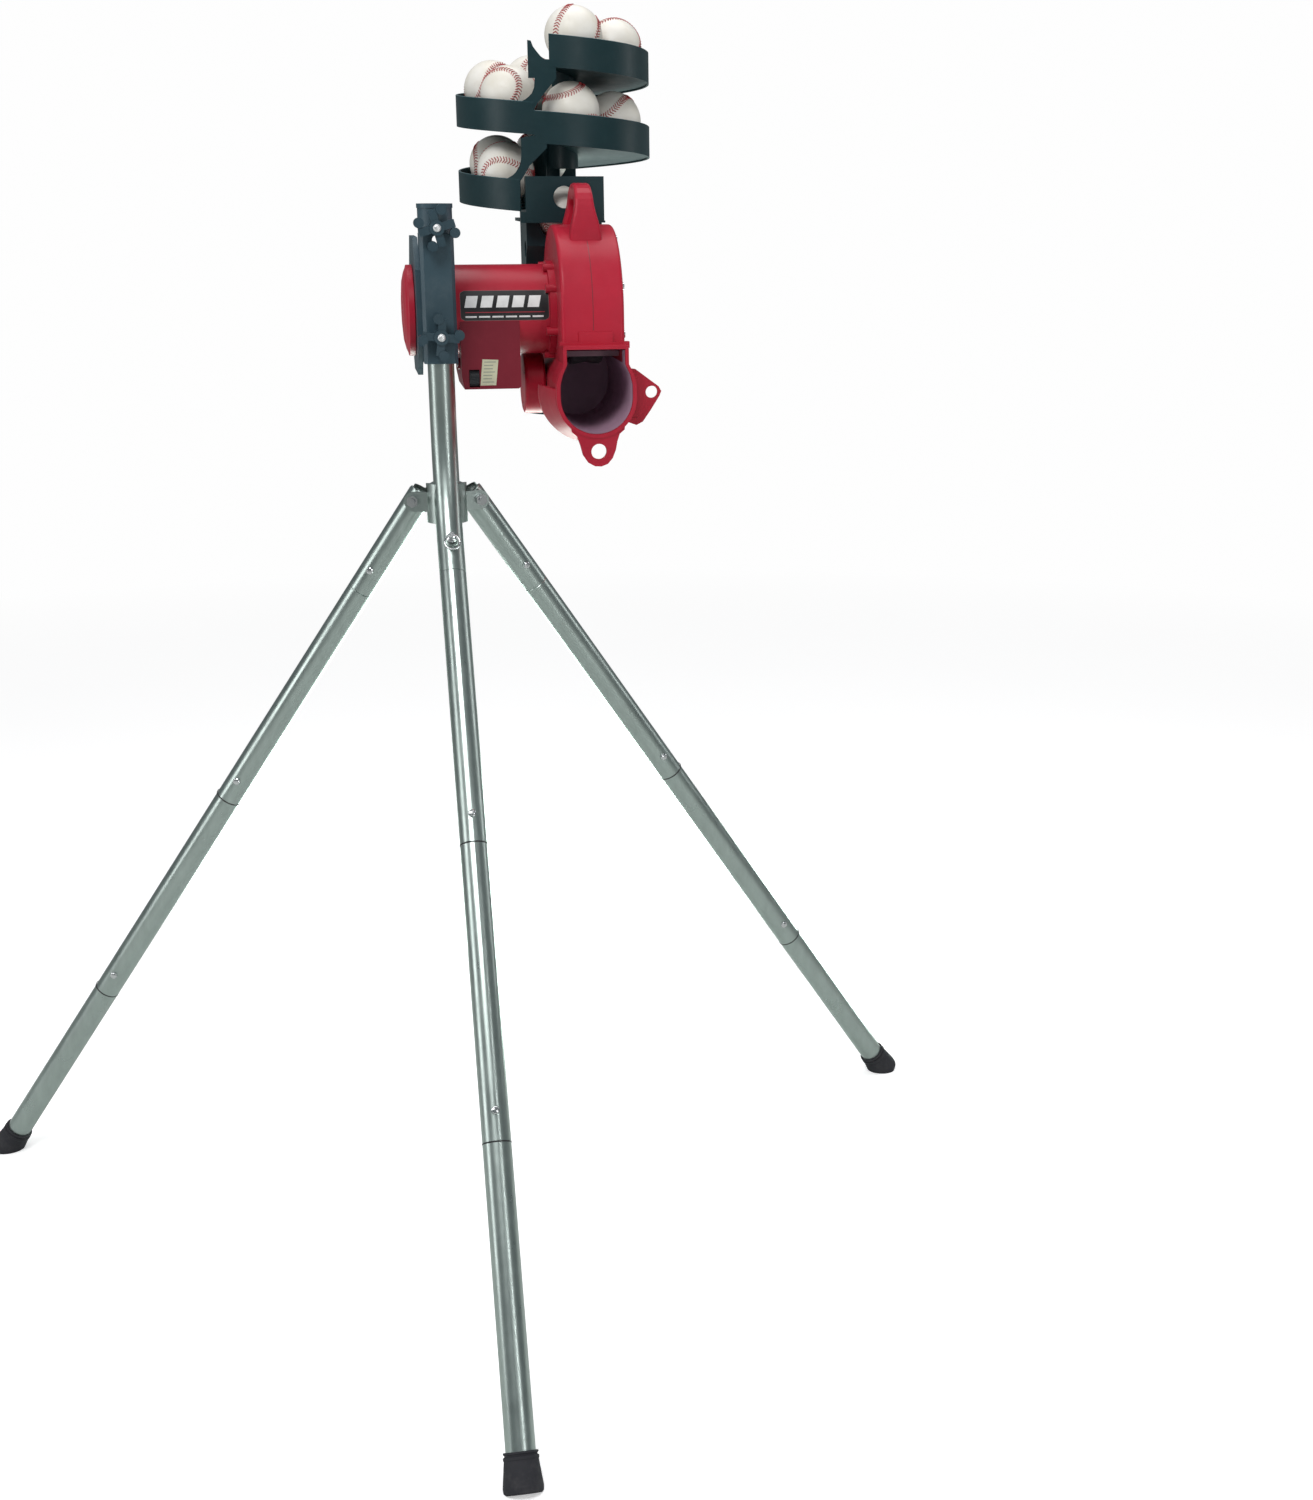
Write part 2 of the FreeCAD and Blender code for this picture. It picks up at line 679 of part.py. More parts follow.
ear_holes = []
for n, (low, high) in enumerate(((31.6, 34.4), (48.1, 50.9))):
    ears.append(block(f"control_box_dial_ear_{n}", (low, high), (y_at(24.6), y_at(35)), (z_at(-97), z_at(-82))))
for n, low in enumerate((41.8, 56.2)):
    ears.append(block(f"control_box_toggle_ear_{n}", (x0 + 2.5, 34.5), (y_at(low), y_at(low + 2)),
                      (z_at(-74), z_at(-66))))
ear_holes.append(rod("control_box_dial_bore", (30, dial_y, dial_z), TO_X, 2.05, 22))
ear_holes.append(rod("control_box_toggle_bore", (31, y_at(41), z_at(-70)), TO_Y, 1.55, 18))
box_mass = cut("control_box_shell", fused("control_box_blank", box_outer, bezel), motor_room, roof_void,
               dial_slot, toggle_hole, inlet_hole)
node(cut("control_box", fused("control_box_eared", box_mass, *ears), *ear_holes))

d = s.dial_radius
dial_points = [
    (0, 30.2), (2, 30.2), (2, 35.3), (d - 0.5, 35.3), (d, 35.9), (d, 46.6), (d - 0.5, 47.2), (2, 47.2),
    (2, 52.2), (0, 52.2),
]
dial_wheel = turned("speed_dial_wheel", dial_points, (0, dial_y, dial_z), TO_X)
grips = []
for n in range(20):
    angle = math.radians(18 * n)
    reach = float(d) + 0.35
    groove = (35, dial_y + reach * math.cos(angle), dial_z + reach * math.sin(angle))
    grips.append(rod(f"speed_dial_grip_{n}", groove, TO_X, 0.9, 13))
node(cut("speed_dial", dial_wheel, *grips))

hinge = Vector(31, axis_y + 50, float(s.head_level) - 70)
tilt_down = Rotation(Vector(0, 1, 0), -90 - 12)
lever = rod("power_toggle_lever", (0, 0, 0), TO_Z, s.toggle_radius, 8.2)
lever_tip = rod("power_toggle_tip", (0, 0, 0), TO_Z, s.toggle_radius + 0.5, 3.2)
lever.Placement = Placement(hinge, tilt_down)
lever_tip.Placement = Placement(hinge + tilt_down.multVec(Vector(0, 0, 5.5)), tilt_down)
toggle_hub = rod("power_toggle_hub", (31, y_at(47.4), z_at(-70)), TO_Y, 2.8, 5.2)
toggle_pins = rod("power_toggle_pins", (31, y_at(41.8), z_at(-70)), TO_Y, 1.5, 16.4)
node(fused("power_toggle", toggle_pins, toggle_hub, lever, lever_tip))

inlet_body = block("power_inlet_body", (52.2, 75.8), (y_at(106), y_at(131)), (z_at(-85.8), z_at(-72.2)))
inlet_face = block("power_inlet_face", (47, 81), (y_at(128), y_at(131)), (z_at(-89), z_at(-69)))
inlet_room = block("power_inlet_room", (55, 73), (y_at(112), y_at(132)), (z_at(-83), z_at(-75)))
pins = [
    block(f"power_inlet_pin_{n}", (x - 0.8, x + 0.8), (y_at(111), y_at(127)), (z_at(-81), z_at(-77)))
    for n, x in enumerate((59, 69))
]
inlet = cut("power_inlet_shell", fused("power_inlet_blank", inlet_body, inlet_face), inlet_room)
node(fused("power_inlet", inlet, *pins))

g = s.stator_radius
node(turned("motor_stator", [(30.2, 40), (g, 40), (g, 100), (30.2, 100)], centre, TO_X))
a = s.shaft_radius
node(turned("motor_rotor", [(a, 42), (s.rotor_radius, 42), (s.rotor_radius, 98), (a, 98)], centre, TO_X))
shaft_points = [(0, -24), (a - 0.5, -24), (a, -23.5), (a, 205.5), (a - 0.5, 206), (0, 206)]
node(turned("motor_shaft", shaft_points, centre, TO_X))
ring_in = a + 0.02
ring_out = s.bearing_radius
bearings = [
    turned(f"motor_bearing_{n}", [(ring_in, x), (ring_out, x), (ring_out, x + 9.6), (ring_in, x + 9.6)],
           centre, TO_X)
    for n, x in enumerate((-19.8, 128.2))
]
node(fused("motor_bearings", *bearings))
fan_points = [(a, 103), (11, 103), (11, 106), (44, 106), (44, 108), (11, 108), (11, 118), (a, 118)]
fan_disc = turned("cooling_fan_disc", fan_points, centre, TO_X)
blades = []
for n in range(8):
    blade = block(f"cooling_fan_blade_{n}", (0, 9), (-1, 1), (0, 33))
    spin = Rotation(Vector(1, 0, 0), 45 * n)
    blade.Placement = Placement(Vector(107.5, float(axis_head_y), float(axis_head_z)), spin).multiply(
        Placement(Vector(0, -1, 10.5), TO_Z))
    blades.append(blade)
node(fused("cooling_fan", fan_disc, *blades))

# ---------------------------------------------------------------- wheel housing
R = s.drum_radius
t = s.drum_wall
x_seam = s.drum_seam
bottom = z_at(s.drum_bottom)


def drum_solid(label, radius, low_x, high_x, low_z):
    """Half-round box: a drum above its axis and straight sides below it."""
    disc = rod(f"{label}_disc", (low_x, axis_head_y, axis_head_z), TO_X, radius, high_x - low_x)
    sides = block(f"{label}_sides", (low_x, high_x), (axis_head_y - radius, axis_head_y + radius),
                  (low_z, axis_head_z))
    keep = block(f"{label}_keep", (low_x - 1, high_x + 1), (axis_head_y - 130, axis_head_y + 130),
                 (low_z, axis_head_z + 130))
    return common(f"{label}_solid", fused(f"{label}_union", disc, sides), keep)


# centre line of the carrying handle: distance along Y, height, half width along X
HANDLE_LINE = (
    (27, 66, 21.0), (27.5, 80, 19.5), (29, 96, 16.6), (32, 111, 12.6), (38, 124, 11.0), (50, 131.6, 10.6),
    (68, 133.5, 10.6), (86, 131.6, 10.6), (98, 124, 11.0), (104, 111, 12.6), (107, 96, 16.6), (108.5, 80, 19.5),
    (109, 66, 21.0),
)
HANDLE_HALF = 9.6
HANDLE_ROUND = 3.2
HANDLE_STATIONS = 31


def handle_half(label, side):
    """Half of the arched handle, split on the housing seam, wider where it meets the drum."""
    sign = -1 if side == "left" else 1
    middle_x = float(middle)
    course = Part.BSplineCurve()
    course.interpolate([Vector(half_width, y, z) for y, z, half_width in HANDLE_LINE])
    stations = course.discretize(HANDLE_STATIONS)
    line = [Vector(0, spot.y, spot.z) for spot in stations]
    wires = []
    for n, (half_width, y, z) in enumerate(stations):
        along = line[min(n + 1, len(line) - 1)] - line[max(n - 1, 0)]
        along.normalize()
        across = Vector(0, -along.z, along.y)
        out_x = middle_x + sign * half_width
        seam_x = float(x_seam)
        c = HANDLE_ROUND
        corners = [
            (seam_x, -HANDLE_HALF), (out_x - sign * c, -HANDLE_HALF),
            (out_x - sign * c * 0.3, c * 0.3 - HANDLE_HALF),
            (out_x, c - HANDLE_HALF), (out_x, HANDLE_HALF - c), (out_x - sign * c * 0.3, HANDLE_HALF - c * 0.3),
            (out_x - sign * c, HANDLE_HALF), (seam_x, HANDLE_HALF),
        ]
        points = []
        for x, offset in corners:
            spot = Vector(0, y, z) + across * offset
            points.append(Vector(x, float(s.mast_y) + spot.y, float(s.head_level) + spot.z))
        wires.append(Part.makePolygon(points + points[:1]))
    return shaped(label, Part.makeLoft(wires, True, True))


middle = x_seam - 1


def housing_half(label, low_x, high_x, outer_side):
    square = drum_solid(f"{label}_outer", R, low_x, high_x, bottom)
    face = float(low_x if outer_side == "left" else high_x)
    floor_level = float(bottom) + 1
    body = rounded(f"{label}_body", square, 4.5,
                   lambda b: b.XLength < 0.01 and abs(b.XMin - face) < 0.01 and b.ZMax > floor_level)
    inner_low = low_x + t if outer_side == "left" else low_x - 1
    inner_high = high_x + 1 if outer_side == "left" else high_x - t
    hollow = drum_solid(f"{label}_inner", R - t, inner_low, inner_high, bottom - 2)
    handle = handle_half(f"{label}_handle", outer_side)
    return body, hollow, handle


left_body, left_hollow, left_handle = housing_half("housing_left", s.drum_left, x_seam, "left")
bar_left = block("housing_left_bar", (164, x_seam), (y_at(-28.5), y_at(-22)), (z_at(-41), z_at(-29)))
ledge_left = block("housing_left_ledge", (141, x_seam), (y_at(-30), y_at(-20)), (bottom, bottom + 3.5))
shaft_room = rod("housing_left_shaft_room", (130, axis_head_y, axis_head_z), TO_X, 28, 30)
left_mass = fused("housing_left_mass", left_body, left_handle, bar_left, ledge_left)
node(cut("wheel_housing_left", left_mass, left_hollow, shaft_room))

right_body, right_hollow, right_handle = housing_half("housing_right", x_seam, s.drum_right, "right")
bar_right = block("housing_right_bar", (x_seam, 205), (y_at(-28.5), y_at(-22)), (z_at(-41), z_at(-29)))
ledge_right = block("housing_right_ledge", (x_seam, 225), (y_at(-30), y_at(-20)), (bottom, bottom + 3.5))
right_mass = fused("housing_right_mass", right_body, right_handle, bar_right, ledge_right)
right_shell = cut("housing_right_shell", right_mass, right_hollow)
screws = []
screw_posts = []
screw_bores = []
for n, degrees in enumerate((20, 70, 110, 160, 197, 343)):
    angle = math.radians(degrees)
    y = axis_head_y + 89.5 * math.cos(angle)
    z = axis_head_z + 89.5 * math.sin(angle)
    screw_posts.append(rod(f"housing_post_{n}", (x_seam + 4, y, z), TO_X, 5.2, 32))
    screw_bores.append(rod(f"housing_screw_bore_{n}", (x_seam, y, z), TO_X, 2.05, 45))
    screws.append(rod(f"housing_screw_shank_{n}", (x_seam + 6, y, z), TO_X, 2.0, s.drum_right - x_seam - 5.5))
    screws.append(rod(f"housing_screw_head_{n}", (s.drum_right, y, z), TO_X, 4.4, 2.2))
node(cut("wheel_housing_right", fused("housing_right_posted", right_shell, *screw_posts), *screw_bores))
node(fused("housing_screws", *screws))

u = s.hub_radius
v = s.tyre_radius
h = s.wheel_half_width
hub_points = [
    (a, x_seam - h), (14, x_seam - h), (14, x_seam - 5), (50, x_seam - 4), (50, x_seam - h), (u, x_seam - h),
    (u, x_seam + h), (50, x_seam + h), (50, x_seam + 4), (14, x_seam + 5), (14, x_seam + h), (a, x_seam + h),
]
hub = turned("wheel_hub_turned", hub_points, centre, TO_X)
spoke_holes = []
for n in range(5):
    angle = math.radians(72 * n)
    y = axis_head_y + 32 * math.cos(angle)
    z = axis_head_z + 32 * math.sin(angle)
    spoke_holes.append(rod(f"wheel_hub_hole_{n}", (150, y, z), TO_X, 10, 60))
node(cut("wheel_hub", hub, *spoke_holes))
tyre_points = [
    (u, x_seam - h), (v - 2, x_seam - h), (v, x_seam - h + 2.5), (v - 0.6, x_seam - 10), (v - 2.4, x_seam),
    (v - 0.6, x_seam + 10), (v, x_seam + h - 2.5), (v - 2, x_seam + h), (u, x_seam + h),
]
node(turned("wheel_tyre", tyre_points, centre, TO_X))

# ---------------------------------------------------------------- barrel
B = s.barrel_radius
n0 = s.barrel_neck
level = z_at(s.barrel_level)


def barrel_solid(label, radius, neck, top, low_y, high_y):
    """Round below, straight-sided above, drawn in to a neck at the top."""
    length = dim(high_y) - dim(low_y)
    lower = rod(f"{label}_round", (x_seam, y_at(high_y), level), TO_MINUS_Y, radius, length)
    upper = prism(f"{label}_neck", "XZ_Plane", [
        (x_seam - radius, level), (x_seam + radius, level), (x_seam + radius, z_at(-90)),
        (x_seam + radius - 3, z_at(-78)), (x_seam + neck, z_at(-66)), (x_seam + neck, top), (x_seam - neck, top),
        (x_seam - neck, z_at(-66)), (x_seam - radius + 3, z_at(-78)), (x_seam - radius, z_at(-90)),
    ], (0, y_at(high_y), 0), length)
    return fused(label, lower, upper)


barrel_outer = barrel_solid("barrel_outer", B, n0, bottom, s.barrel_front, s.barrel_back)
bore_radius = B - s.barrel_wall
bore_neck = n0 - 2.6
barrel_bore = barrel_solid("barrel_bore", bore_radius, bore_neck, bottom - 4,
                           s.barrel_front - 5, s.barrel_back + 5)
rim_outer = barrel_solid("barrel_rim", B + 1.6, n0 + 1.6, bottom, s.barrel_front - 1.2, s.barrel_front + 4)
wheel_slot = block("barrel_wheel_slot", (x_seam - 31, x_seam + 31), (y_at(-20), y_at(170)),
                   (z_at(-64), bottom + 1))
flange = block("barrel_flange", (x_seam - n0, x_seam + 43), (y_at(-30), y_at(176)), (bottom - 4, bottom))
skirt_points = [(B - 2, 0), (B + 1.5, 0), (s.skirt_radius, 62), (s.skirt_radius, 78), (s.skirt_radius - 4, 78),
                (s.skirt_radius - 4, 63), (B - 2, 6)]
skirt_full = turned("barrel_skirt_full", skirt_points, (x_seam, y_at(-34), level), TO_Y)
skirt_keep = block("barrel_skirt_keep", (100, 260), (y_at(-50), y_at(60)), (z_at(-200), z_at(-96)))
skirt = common("barrel_skirt", skirt_full, skirt_keep)
lug_points = [
    (149, z_at(-132)), (217, z_at(-132)), (215, z_at(-144)), (209, z_at(-149)), (206, z_at(-158)),
    (204, z_at(-168)),
    (200, z_at(-178)), (194, z_at(-185)), (186, z_at(-188)), (178, z_at(-187.5)), (170, z_at(-183)),
    (164, z_at(-174)), (161, z_at(-162)), (157, z_at(-151)), (151, z_at(-146)),
]
lug = prism("barrel_lug", "XZ_Plane", lug_points, (0, y_at(-38), 0), 7)
lug_hole = rod("barrel_lug_hole", (183.5, y_at(-30), z_at(-170)), TO_MINUS_Y, s.lug_hole, 20)
side_points = [
    (220, z_at(-74)), (236, z_at(-76)), (264, z_at(-97)), (267.5, z_at(-103)), (265, z_at(-109)),
    (254, z_at(-126)),
    (244, z_at(-140)), (236, z_at(-144)), (214, z_at(-136)),
]
side_lug = prism("barrel_side_lug", "XZ_Plane", side_points, (0, y_at(3), 0), 6)
side_hole = rod("barrel_side_lug_hole", (255.5, y_at(10), z_at(-104)), TO_MINUS_Y, s.side_lug_hole, 20)
ribs = [
    block(f"barrel_rib_{n}", (228, 237), (y_at(-4.6), y_at(-2)), (z_at(-138 + 7 * n), z_at(-135 + 7 * n)))
    for n in range(9)
]
tube_room = rod("barrel_tube_room", (s.tower_x, y_at(s.feed_tube_y), z_at(-200)), TO_Z,
                s.feed_tube_radius + 0.02, 300)
drive_hole = rod("barrel_drive_hole", (130, y_at(s.pod_y), z_at(s.pod_z)), TO_X, 6.06, 20)
mass = fused("barrel_mass", barrel_outer, rim_outer, flange, skirt, lug, side_lug, *ribs)
node(cut("barrel", mass, barrel_bore, wheel_slot, lug_hole, side_hole, tube_room, drive_hole))

# ---------------------------------------------------------------- feed drive pod
pod_centre = (0, y_at(s.pod_y), z_at(s.pod_z))
P = s.pod_radius
pod_points = [
    (P - 2, s.pod_left + 4), (P, s.pod_left + 4), (P, 131), (P - 3, 133.8), (18, 133.8), (18, 145), (6.6, 145),
    (6.6, 131), (P - 3.5, 131), (P - 3.5, s.pod_left + 7), (P - 2, s.pod_left + 7),
]
pod_shell = turned("feed_pod_shell", pod_points, pod_centre, TO_X)
barrel_shape = barrel_solid("feed_pod_barrel_room", B + 0.02, n0 + 0.02, bottom, s.barrel_front, s.barrel_back)
node(cut("feed_pod_housing", pod_shell, barrel_shape))
cover_points = [
    (0, s.pod_left), (P - 4, s.pod_left), (P - 1, s.pod_left + 1.2), (P, s.pod_left + 4), (P - 2, s.pod_left + 4),
    (P - 2, s.pod_left + 7), (P - 3.5, s.pod_left + 7), (P - 3.5, s.pod_left + 3), (0, s.pod_left + 3),
]
cover = turned("feed_pod_cover_turned", cover_points, pod_centre, TO_X)
cover_dimples = []
for n in range(3):
    angle = math.radians(120 * n + 150)
    y = y_at(s.pod_y) + 28 * math.cos(angle)
    z = z_at(s.pod_z) + 28 * math.sin(angle)
    cover_dimples.append(rod(f"feed_pod_cover_dimple_{n}", (s.pod_left - 1, y, z), TO_X, 3.2, 2.4))
node(cut("feed_pod_cover", cover, *cover_dimples))
gear_case = rod("feed_gearmotor_case", (s.pod_left + 3, y_at(s.pod_y), z_at(s.pod_z)), TO_X, 26, 14)
gear_neck = rod("feed_gearmotor_neck", (s.pod_left + 17, y_at(s.pod_y), z_at(s.pod_z)), TO_X, 11, 6)
gear_bore = rod("feed_gearmotor_bore", (s.pod_left + 12, y_at(s.pod_y), z_at(s.pod_z)), TO_X, 6.05, 40)
node(cut("feed_gearmotor", fused("feed_gearmotor_mass", gear_case, gear_neck), gear_bore))
arm_shaft = rod("feeder_arm_shaft", (s.pod_left + 12.4, y_at(s.pod_y), z_at(s.pod_z)), TO_X, 6, 27)
arm_crank = rod("feeder_arm_crank", (144.6, y_at(s.pod_y), z_at(s.pod_z)), TO_X, 15, 3)
arm_finger = rod("feeder_arm_finger", (144.6, y_at(s.pod_y) + 10, z_at(s.pod_z)), TO_X, 4, 12)
node(fused("feeder_arm", arm_shaft, arm_crank, arm_finger))

# ---------------------------------------------------------------- feeder and magazine
tube_base = (s.tower_x, y_at(s.feed_tube_y), z_at(-150))
F = s.feed_tube_radius
fb = s.feeder_bottom
pipe_outer = rod("feed_tube_pipe", tube_base, TO_Z, F, fb + 150)
throat_outer = block("feed_tube_throat", (s.tower_x - F, s.tower_x + F), (y_at(146), y_at(s.feed_tube_y)),
                     (z_at(20), z_at(fb)))
tower_mass = fused("feed_tube_mass", pipe_outer, throat_outer)
pipe_bore = rod("feed_tube_bore", (s.tower_x, y_at(s.feed_tube_y), z_at(-144)), TO_Z, s.feed_tube_bore, 300)
drum_room = rod("feed_tube_drum_room", (100, axis_head_y, axis_head_z), TO_X, R + 1, 160)
ball_room = []
throat = [(168, 100), (188, 84), (206, 62), (222, 40)]
clear = float(s.ball_radius) + 2
for n, (y, z) in enumerate(throat):
    cell = named("Part::Sphere", f"feed_tube_cell_{n}")
    bind(cell, "Radius", s.ball_radius + 2)
    put(cell, (s.tower_x, y_at(y), z_at(z)))
    ball_room.append(cell)
for n, ((ya, za), (yb, zb)) in enumerate(zip(throat, throat[1:])):
    run = Vector(0, yb - ya, zb - za)
    lane = rod(f"feed_tube_lane_{n}", (0, 0, 0), TO_Z, clear, run.Length)
    lane.Placement = Placement(Vector(float(s.tower_x), axis_y + ya, float(s.head_level) + za),
                               Rotation(Vector(0, 0, 1), run))
    ball_room.append(lane)
breech = barrel_solid("feed_tube_breech", bore_radius, bore_neck, z_at(-52), 150, s.feed_tube_y)
peep = rod("feed_tube_peep", (s.tower_x - F - 5, y_at(166), z_at(62)), TO_X, 10.5, 12)
gusset = prism("feed_tube_gusset", "XZ_Plane", [
    (s.tower_x - F + 1, z_at(56)), (s.tower_x - F + 1, z_at(24)), (s.tower_x - F - 14, z_at(40)),
    (s.tower_x - F - 14, z_at(46)),
], (0, y_at(153), 0), 4)
ribbed = fused("feed_tube_ribbed", tower_mass, gusset)
node(cut("feed_tube", ribbed, pipe_bore, drum_room, *ball_room, breech, peep))

f0 = s.tower_x - 50
f1 = s.tower_x + 48
k = s.feeder_wall
box_a = block("feeder_box_front", (f0, f1), (y_at(122), y_at(206)), (z_at(fb), z_at(s.feeder_top)))
lid = block("feeder_box_lid", (f0, f1), (y_at(190), y_at(274)), (z_at(fb), z_at(fb + 4)))
tab = block("feeder_box_tab", (f0 - 7, f0), (y_at(123), y_at(131)), (z_at(fb), z_at(fb + 13)))
bead = block("feeder_box_bead", (f0 - 1, f1 + 1), (y_at(121), y_at(126)), (z_at(fb), z_at(fb + 2.5)))
room = block("feeder_box_room", (f0 + k, f1 - k), (y_at(122) + k, y_at(206) - k),
             (z_at(fb + 4), z_at(fb + 100)))
gate = block("feeder_box_gate", (f0 - 5, f0 + 33), (y_at(136), y_at(208)), (z_at(118), z_at(200)))
sight = rod("feeder_box_sight", (168, y_at(118), z_at(126)), TO_Y, s.sight_radius, 12)
drop = []
for n, (y, z) in enumerate(throat):
    cell = named("Part::Sphere", f"feeder_box_cell_{n}")
    bind(cell, "Radius", s.ball_radius + 2)
    put(cell, (s.tower_x, y_at(y), z_at(z)))
    drop.append(cell)
drop.append(rod("feeder_box_drop", (s.tower_x, y_at(168), z_at(80)), TO_Z, clear, 60))
node(cut("feeder_box", fused("feeder_box_mass", box_a, lid, tab, bead), room, gate, sight, *drop))

# each tray's number, first angle, sweep and the height of its wall's top where it starts
TRAYS = ((1, -98.0, 168.0, 317.5), (2, 70.0, 182.5, 268.7), (3, -107.5, 177.5, 228.6), (4, 70.0, 173.0, 175.6))
# webs that hang the end of one tray from the tray above it: corners as (X, height)
WEBS = {
    2: (
        (114, 236), (119, 239.5), (125.5, 243.3), (131, 248.5), (134, 255), (135.1, 266.5), (127.5, 266.6),
        (127.5, 310.5), (131.5, 309.8), (134, 303), (138.7, 296.6), (143, 291.5), (147.4, 288.5), (153, 288),
        (161, 279.5), (161, 266), (154, 258), (147, 250), (134, 231.5), (133.5, 200), (114, 202),
    ),
    4: (
        (92, 146), (100.1, 148.9), (106, 152.2), (109.7, 156), (114, 163), (116.1, 170.3), (116.8, 182),
        (116.8, 196.5), (131.5, 199.5), (147.5, 190.5), (147.5, 184.5), (139, 176.2), (127, 164.5), (119.5, 152),
        (114.5, 145), (113.5, 112), (92, 116),
    ),
}
mx = float(s.tower_x)
my = float(y_at(s.magazine_y))
wall = float(s.tray_wall)
height = float(s.tray_height)
fall = float(s.tray_fall)
ro = float(s.tray_radius)
rc = float(s.column_radius)


def helical_tray(start, sweep, top):
    """Floor and outer wall, falling as they turn anticlockwise."""
    drop = fall * sweep / 180
    spine = Part.makeHelix(2 * fall, drop, 80.0, 0, True)
    corners = [
        (ro, 0), (ro, height), (ro - wall, height), (ro - wall, 5), (rc - 1.5, 5), (rc - 1.5, 2),
        (ro - wall, 2), (ro - wall, 0),
    ]
    profile = Part.makePolygon([Vector(r, 0, z) for r, z in corners + corners[:1]])
    solid = Part.Wire(spine).makePipeShell([profile], True, True)
    low = float(s.head_level) + top - height - drop
    solid.Placement = Placement(Vector(mx, my, low), Rotation(Vector(0, 0, 1), start + sweep))
    return solid


def sector(radius, start, sweep, low, high):
    base = Vector(mx, my, float(s.head_level) + low)
    piece = Part.makeCylinder(radius, high - low, base, Vector(0, 0, 1), sweep)
    piece.rotate(Vector(mx, my, 0), Vector(0, 0, 1), start)
    return piece


def shell_patch(outer, inner, start, sweep, low, high):
    return sector(outer, start, sweep, low, high).cut(sector(inner, start - 1, sweep + 2, low - 1, high + 1))


def hanging_web(corners):
    """A flat outline seen from the front, cut out of the wall's cylinder."""
    points = [Vector(x, my - ro - 10, float(s.head_level) + z) for x, z in corners]
    slab = Part.Face(Part.makePolygon(points + points[:1])).extrude(Vector(0, ro + 10, 0))
    return slab.common(shell_patch(ro - 0.3, ro - wall + 0.3, 180, 180, 60, 340))


for number, start, sweep, top in TRAYS:
    label = f"magazine_tray_{number}"
    swept = helical_tray(start, sweep, top)
    floor_low = top - height - fall
    column_low = max(floor_low, 104.0)
    column_high = top + 6 if number <= 2 else floor_low + TRAYS[number - 3][3] - top - 0.1
    post = shell_patch(rc, rc - 3, start, sweep, column_low, column_high)
    tray = swept.fuse(post)
    if number in WEBS:
        tray = tray.fuse(hanging_web(WEBS[number]).cut(tray_above))
        tray = max(tray.Solids, key=lambda solid: solid.Volume)
    if number == 4:
        keep_out = Part.makeBox(99, 90, 60, Vector(mx - 50, axis_y + 118, float(s.head_level) + 92))
        tray = tray.cut(keep_out)
    node(shaped(label, tray))
    tray_above = tray

ball_solids = []
BALL_PLACES = [
    (float(s.tower_x), float(s.feed_tube_y), -106.6), (float(s.tower_x), float(s.feed_tube_y), -32.2),
    (float(s.tower_x), 222.0, 42.2), (float(s.tower_x), 168.0, 104.2),
]
for n, (x, y, z) in enumerate(BALL_PLACES):
    ball_solids.append(Part.makeSphere(float(s.ball_radius), Vector(x, axis_y + y, float(s.head_level) + z)))


def ball_on_tray(number, angle):
    _, start, _, top = TRAYS[number - 1]
    along = (angle - start) / 180.0
    z = float(s.head_level) + top - height + 5.4 + float(s.ball_radius) - fall * along + 0.9
    a = math.radians(angle)
    ring = float(s.ball_circle)
    return Vector(mx + ring * math.cos(a), my + ring * math.sin(a), z)


for number, angle in ((4, 212), (4, 154), (4, 96), (3, 36), (3, -22), (3, -80), (2, 220), (2, 162), (2, 104),
                      (1, 44), (1, -14), (1, -76)):
    ball_solids.append(Part.makeSphere(float(s.ball_radius), ball_on_tray(number, angle)))
node(shaped("baseballs", Part.makeCompound(ball_solids)))

# ---------------------------------------------------------------- export
doc.recompute()
for obj in doc.Objects:
    broken = [state for state in obj.State if state in ("Invalid", "Error")]
    if broken:
        raise RuntimeError(f"{obj.Label}: {broken}")
os.makedirs("parts", exist_ok=True)
for obj in NODES:
    shape = obj.Shape
    if shape.isNull() or not shape.isValid() or not shape.Solids:
        raise RuntimeError(f"{obj.Label}: bad shape")
    shape.exportStep(f"parts/{obj.Label}.step")
print(len(NODES), "nodes")
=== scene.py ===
import json
import math
import random

import bmesh
import bpy
from mathutils import Euler, Matrix, Vector
from mathutils.kdtree import KDTree


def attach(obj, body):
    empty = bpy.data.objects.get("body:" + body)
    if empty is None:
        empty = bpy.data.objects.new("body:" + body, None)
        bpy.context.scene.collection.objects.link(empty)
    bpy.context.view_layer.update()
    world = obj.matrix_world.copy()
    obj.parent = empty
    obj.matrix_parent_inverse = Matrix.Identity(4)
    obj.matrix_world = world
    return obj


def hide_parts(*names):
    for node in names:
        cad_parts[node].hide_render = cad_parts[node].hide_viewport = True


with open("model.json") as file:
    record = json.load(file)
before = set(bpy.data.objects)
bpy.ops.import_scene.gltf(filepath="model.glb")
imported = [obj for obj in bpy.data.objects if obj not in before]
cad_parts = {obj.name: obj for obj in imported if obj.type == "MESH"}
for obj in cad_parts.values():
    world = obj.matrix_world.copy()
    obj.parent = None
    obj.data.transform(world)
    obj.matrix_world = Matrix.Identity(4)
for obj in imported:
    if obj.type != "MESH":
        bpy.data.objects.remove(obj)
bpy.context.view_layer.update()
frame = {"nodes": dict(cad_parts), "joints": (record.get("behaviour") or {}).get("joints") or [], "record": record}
random.seed(7)

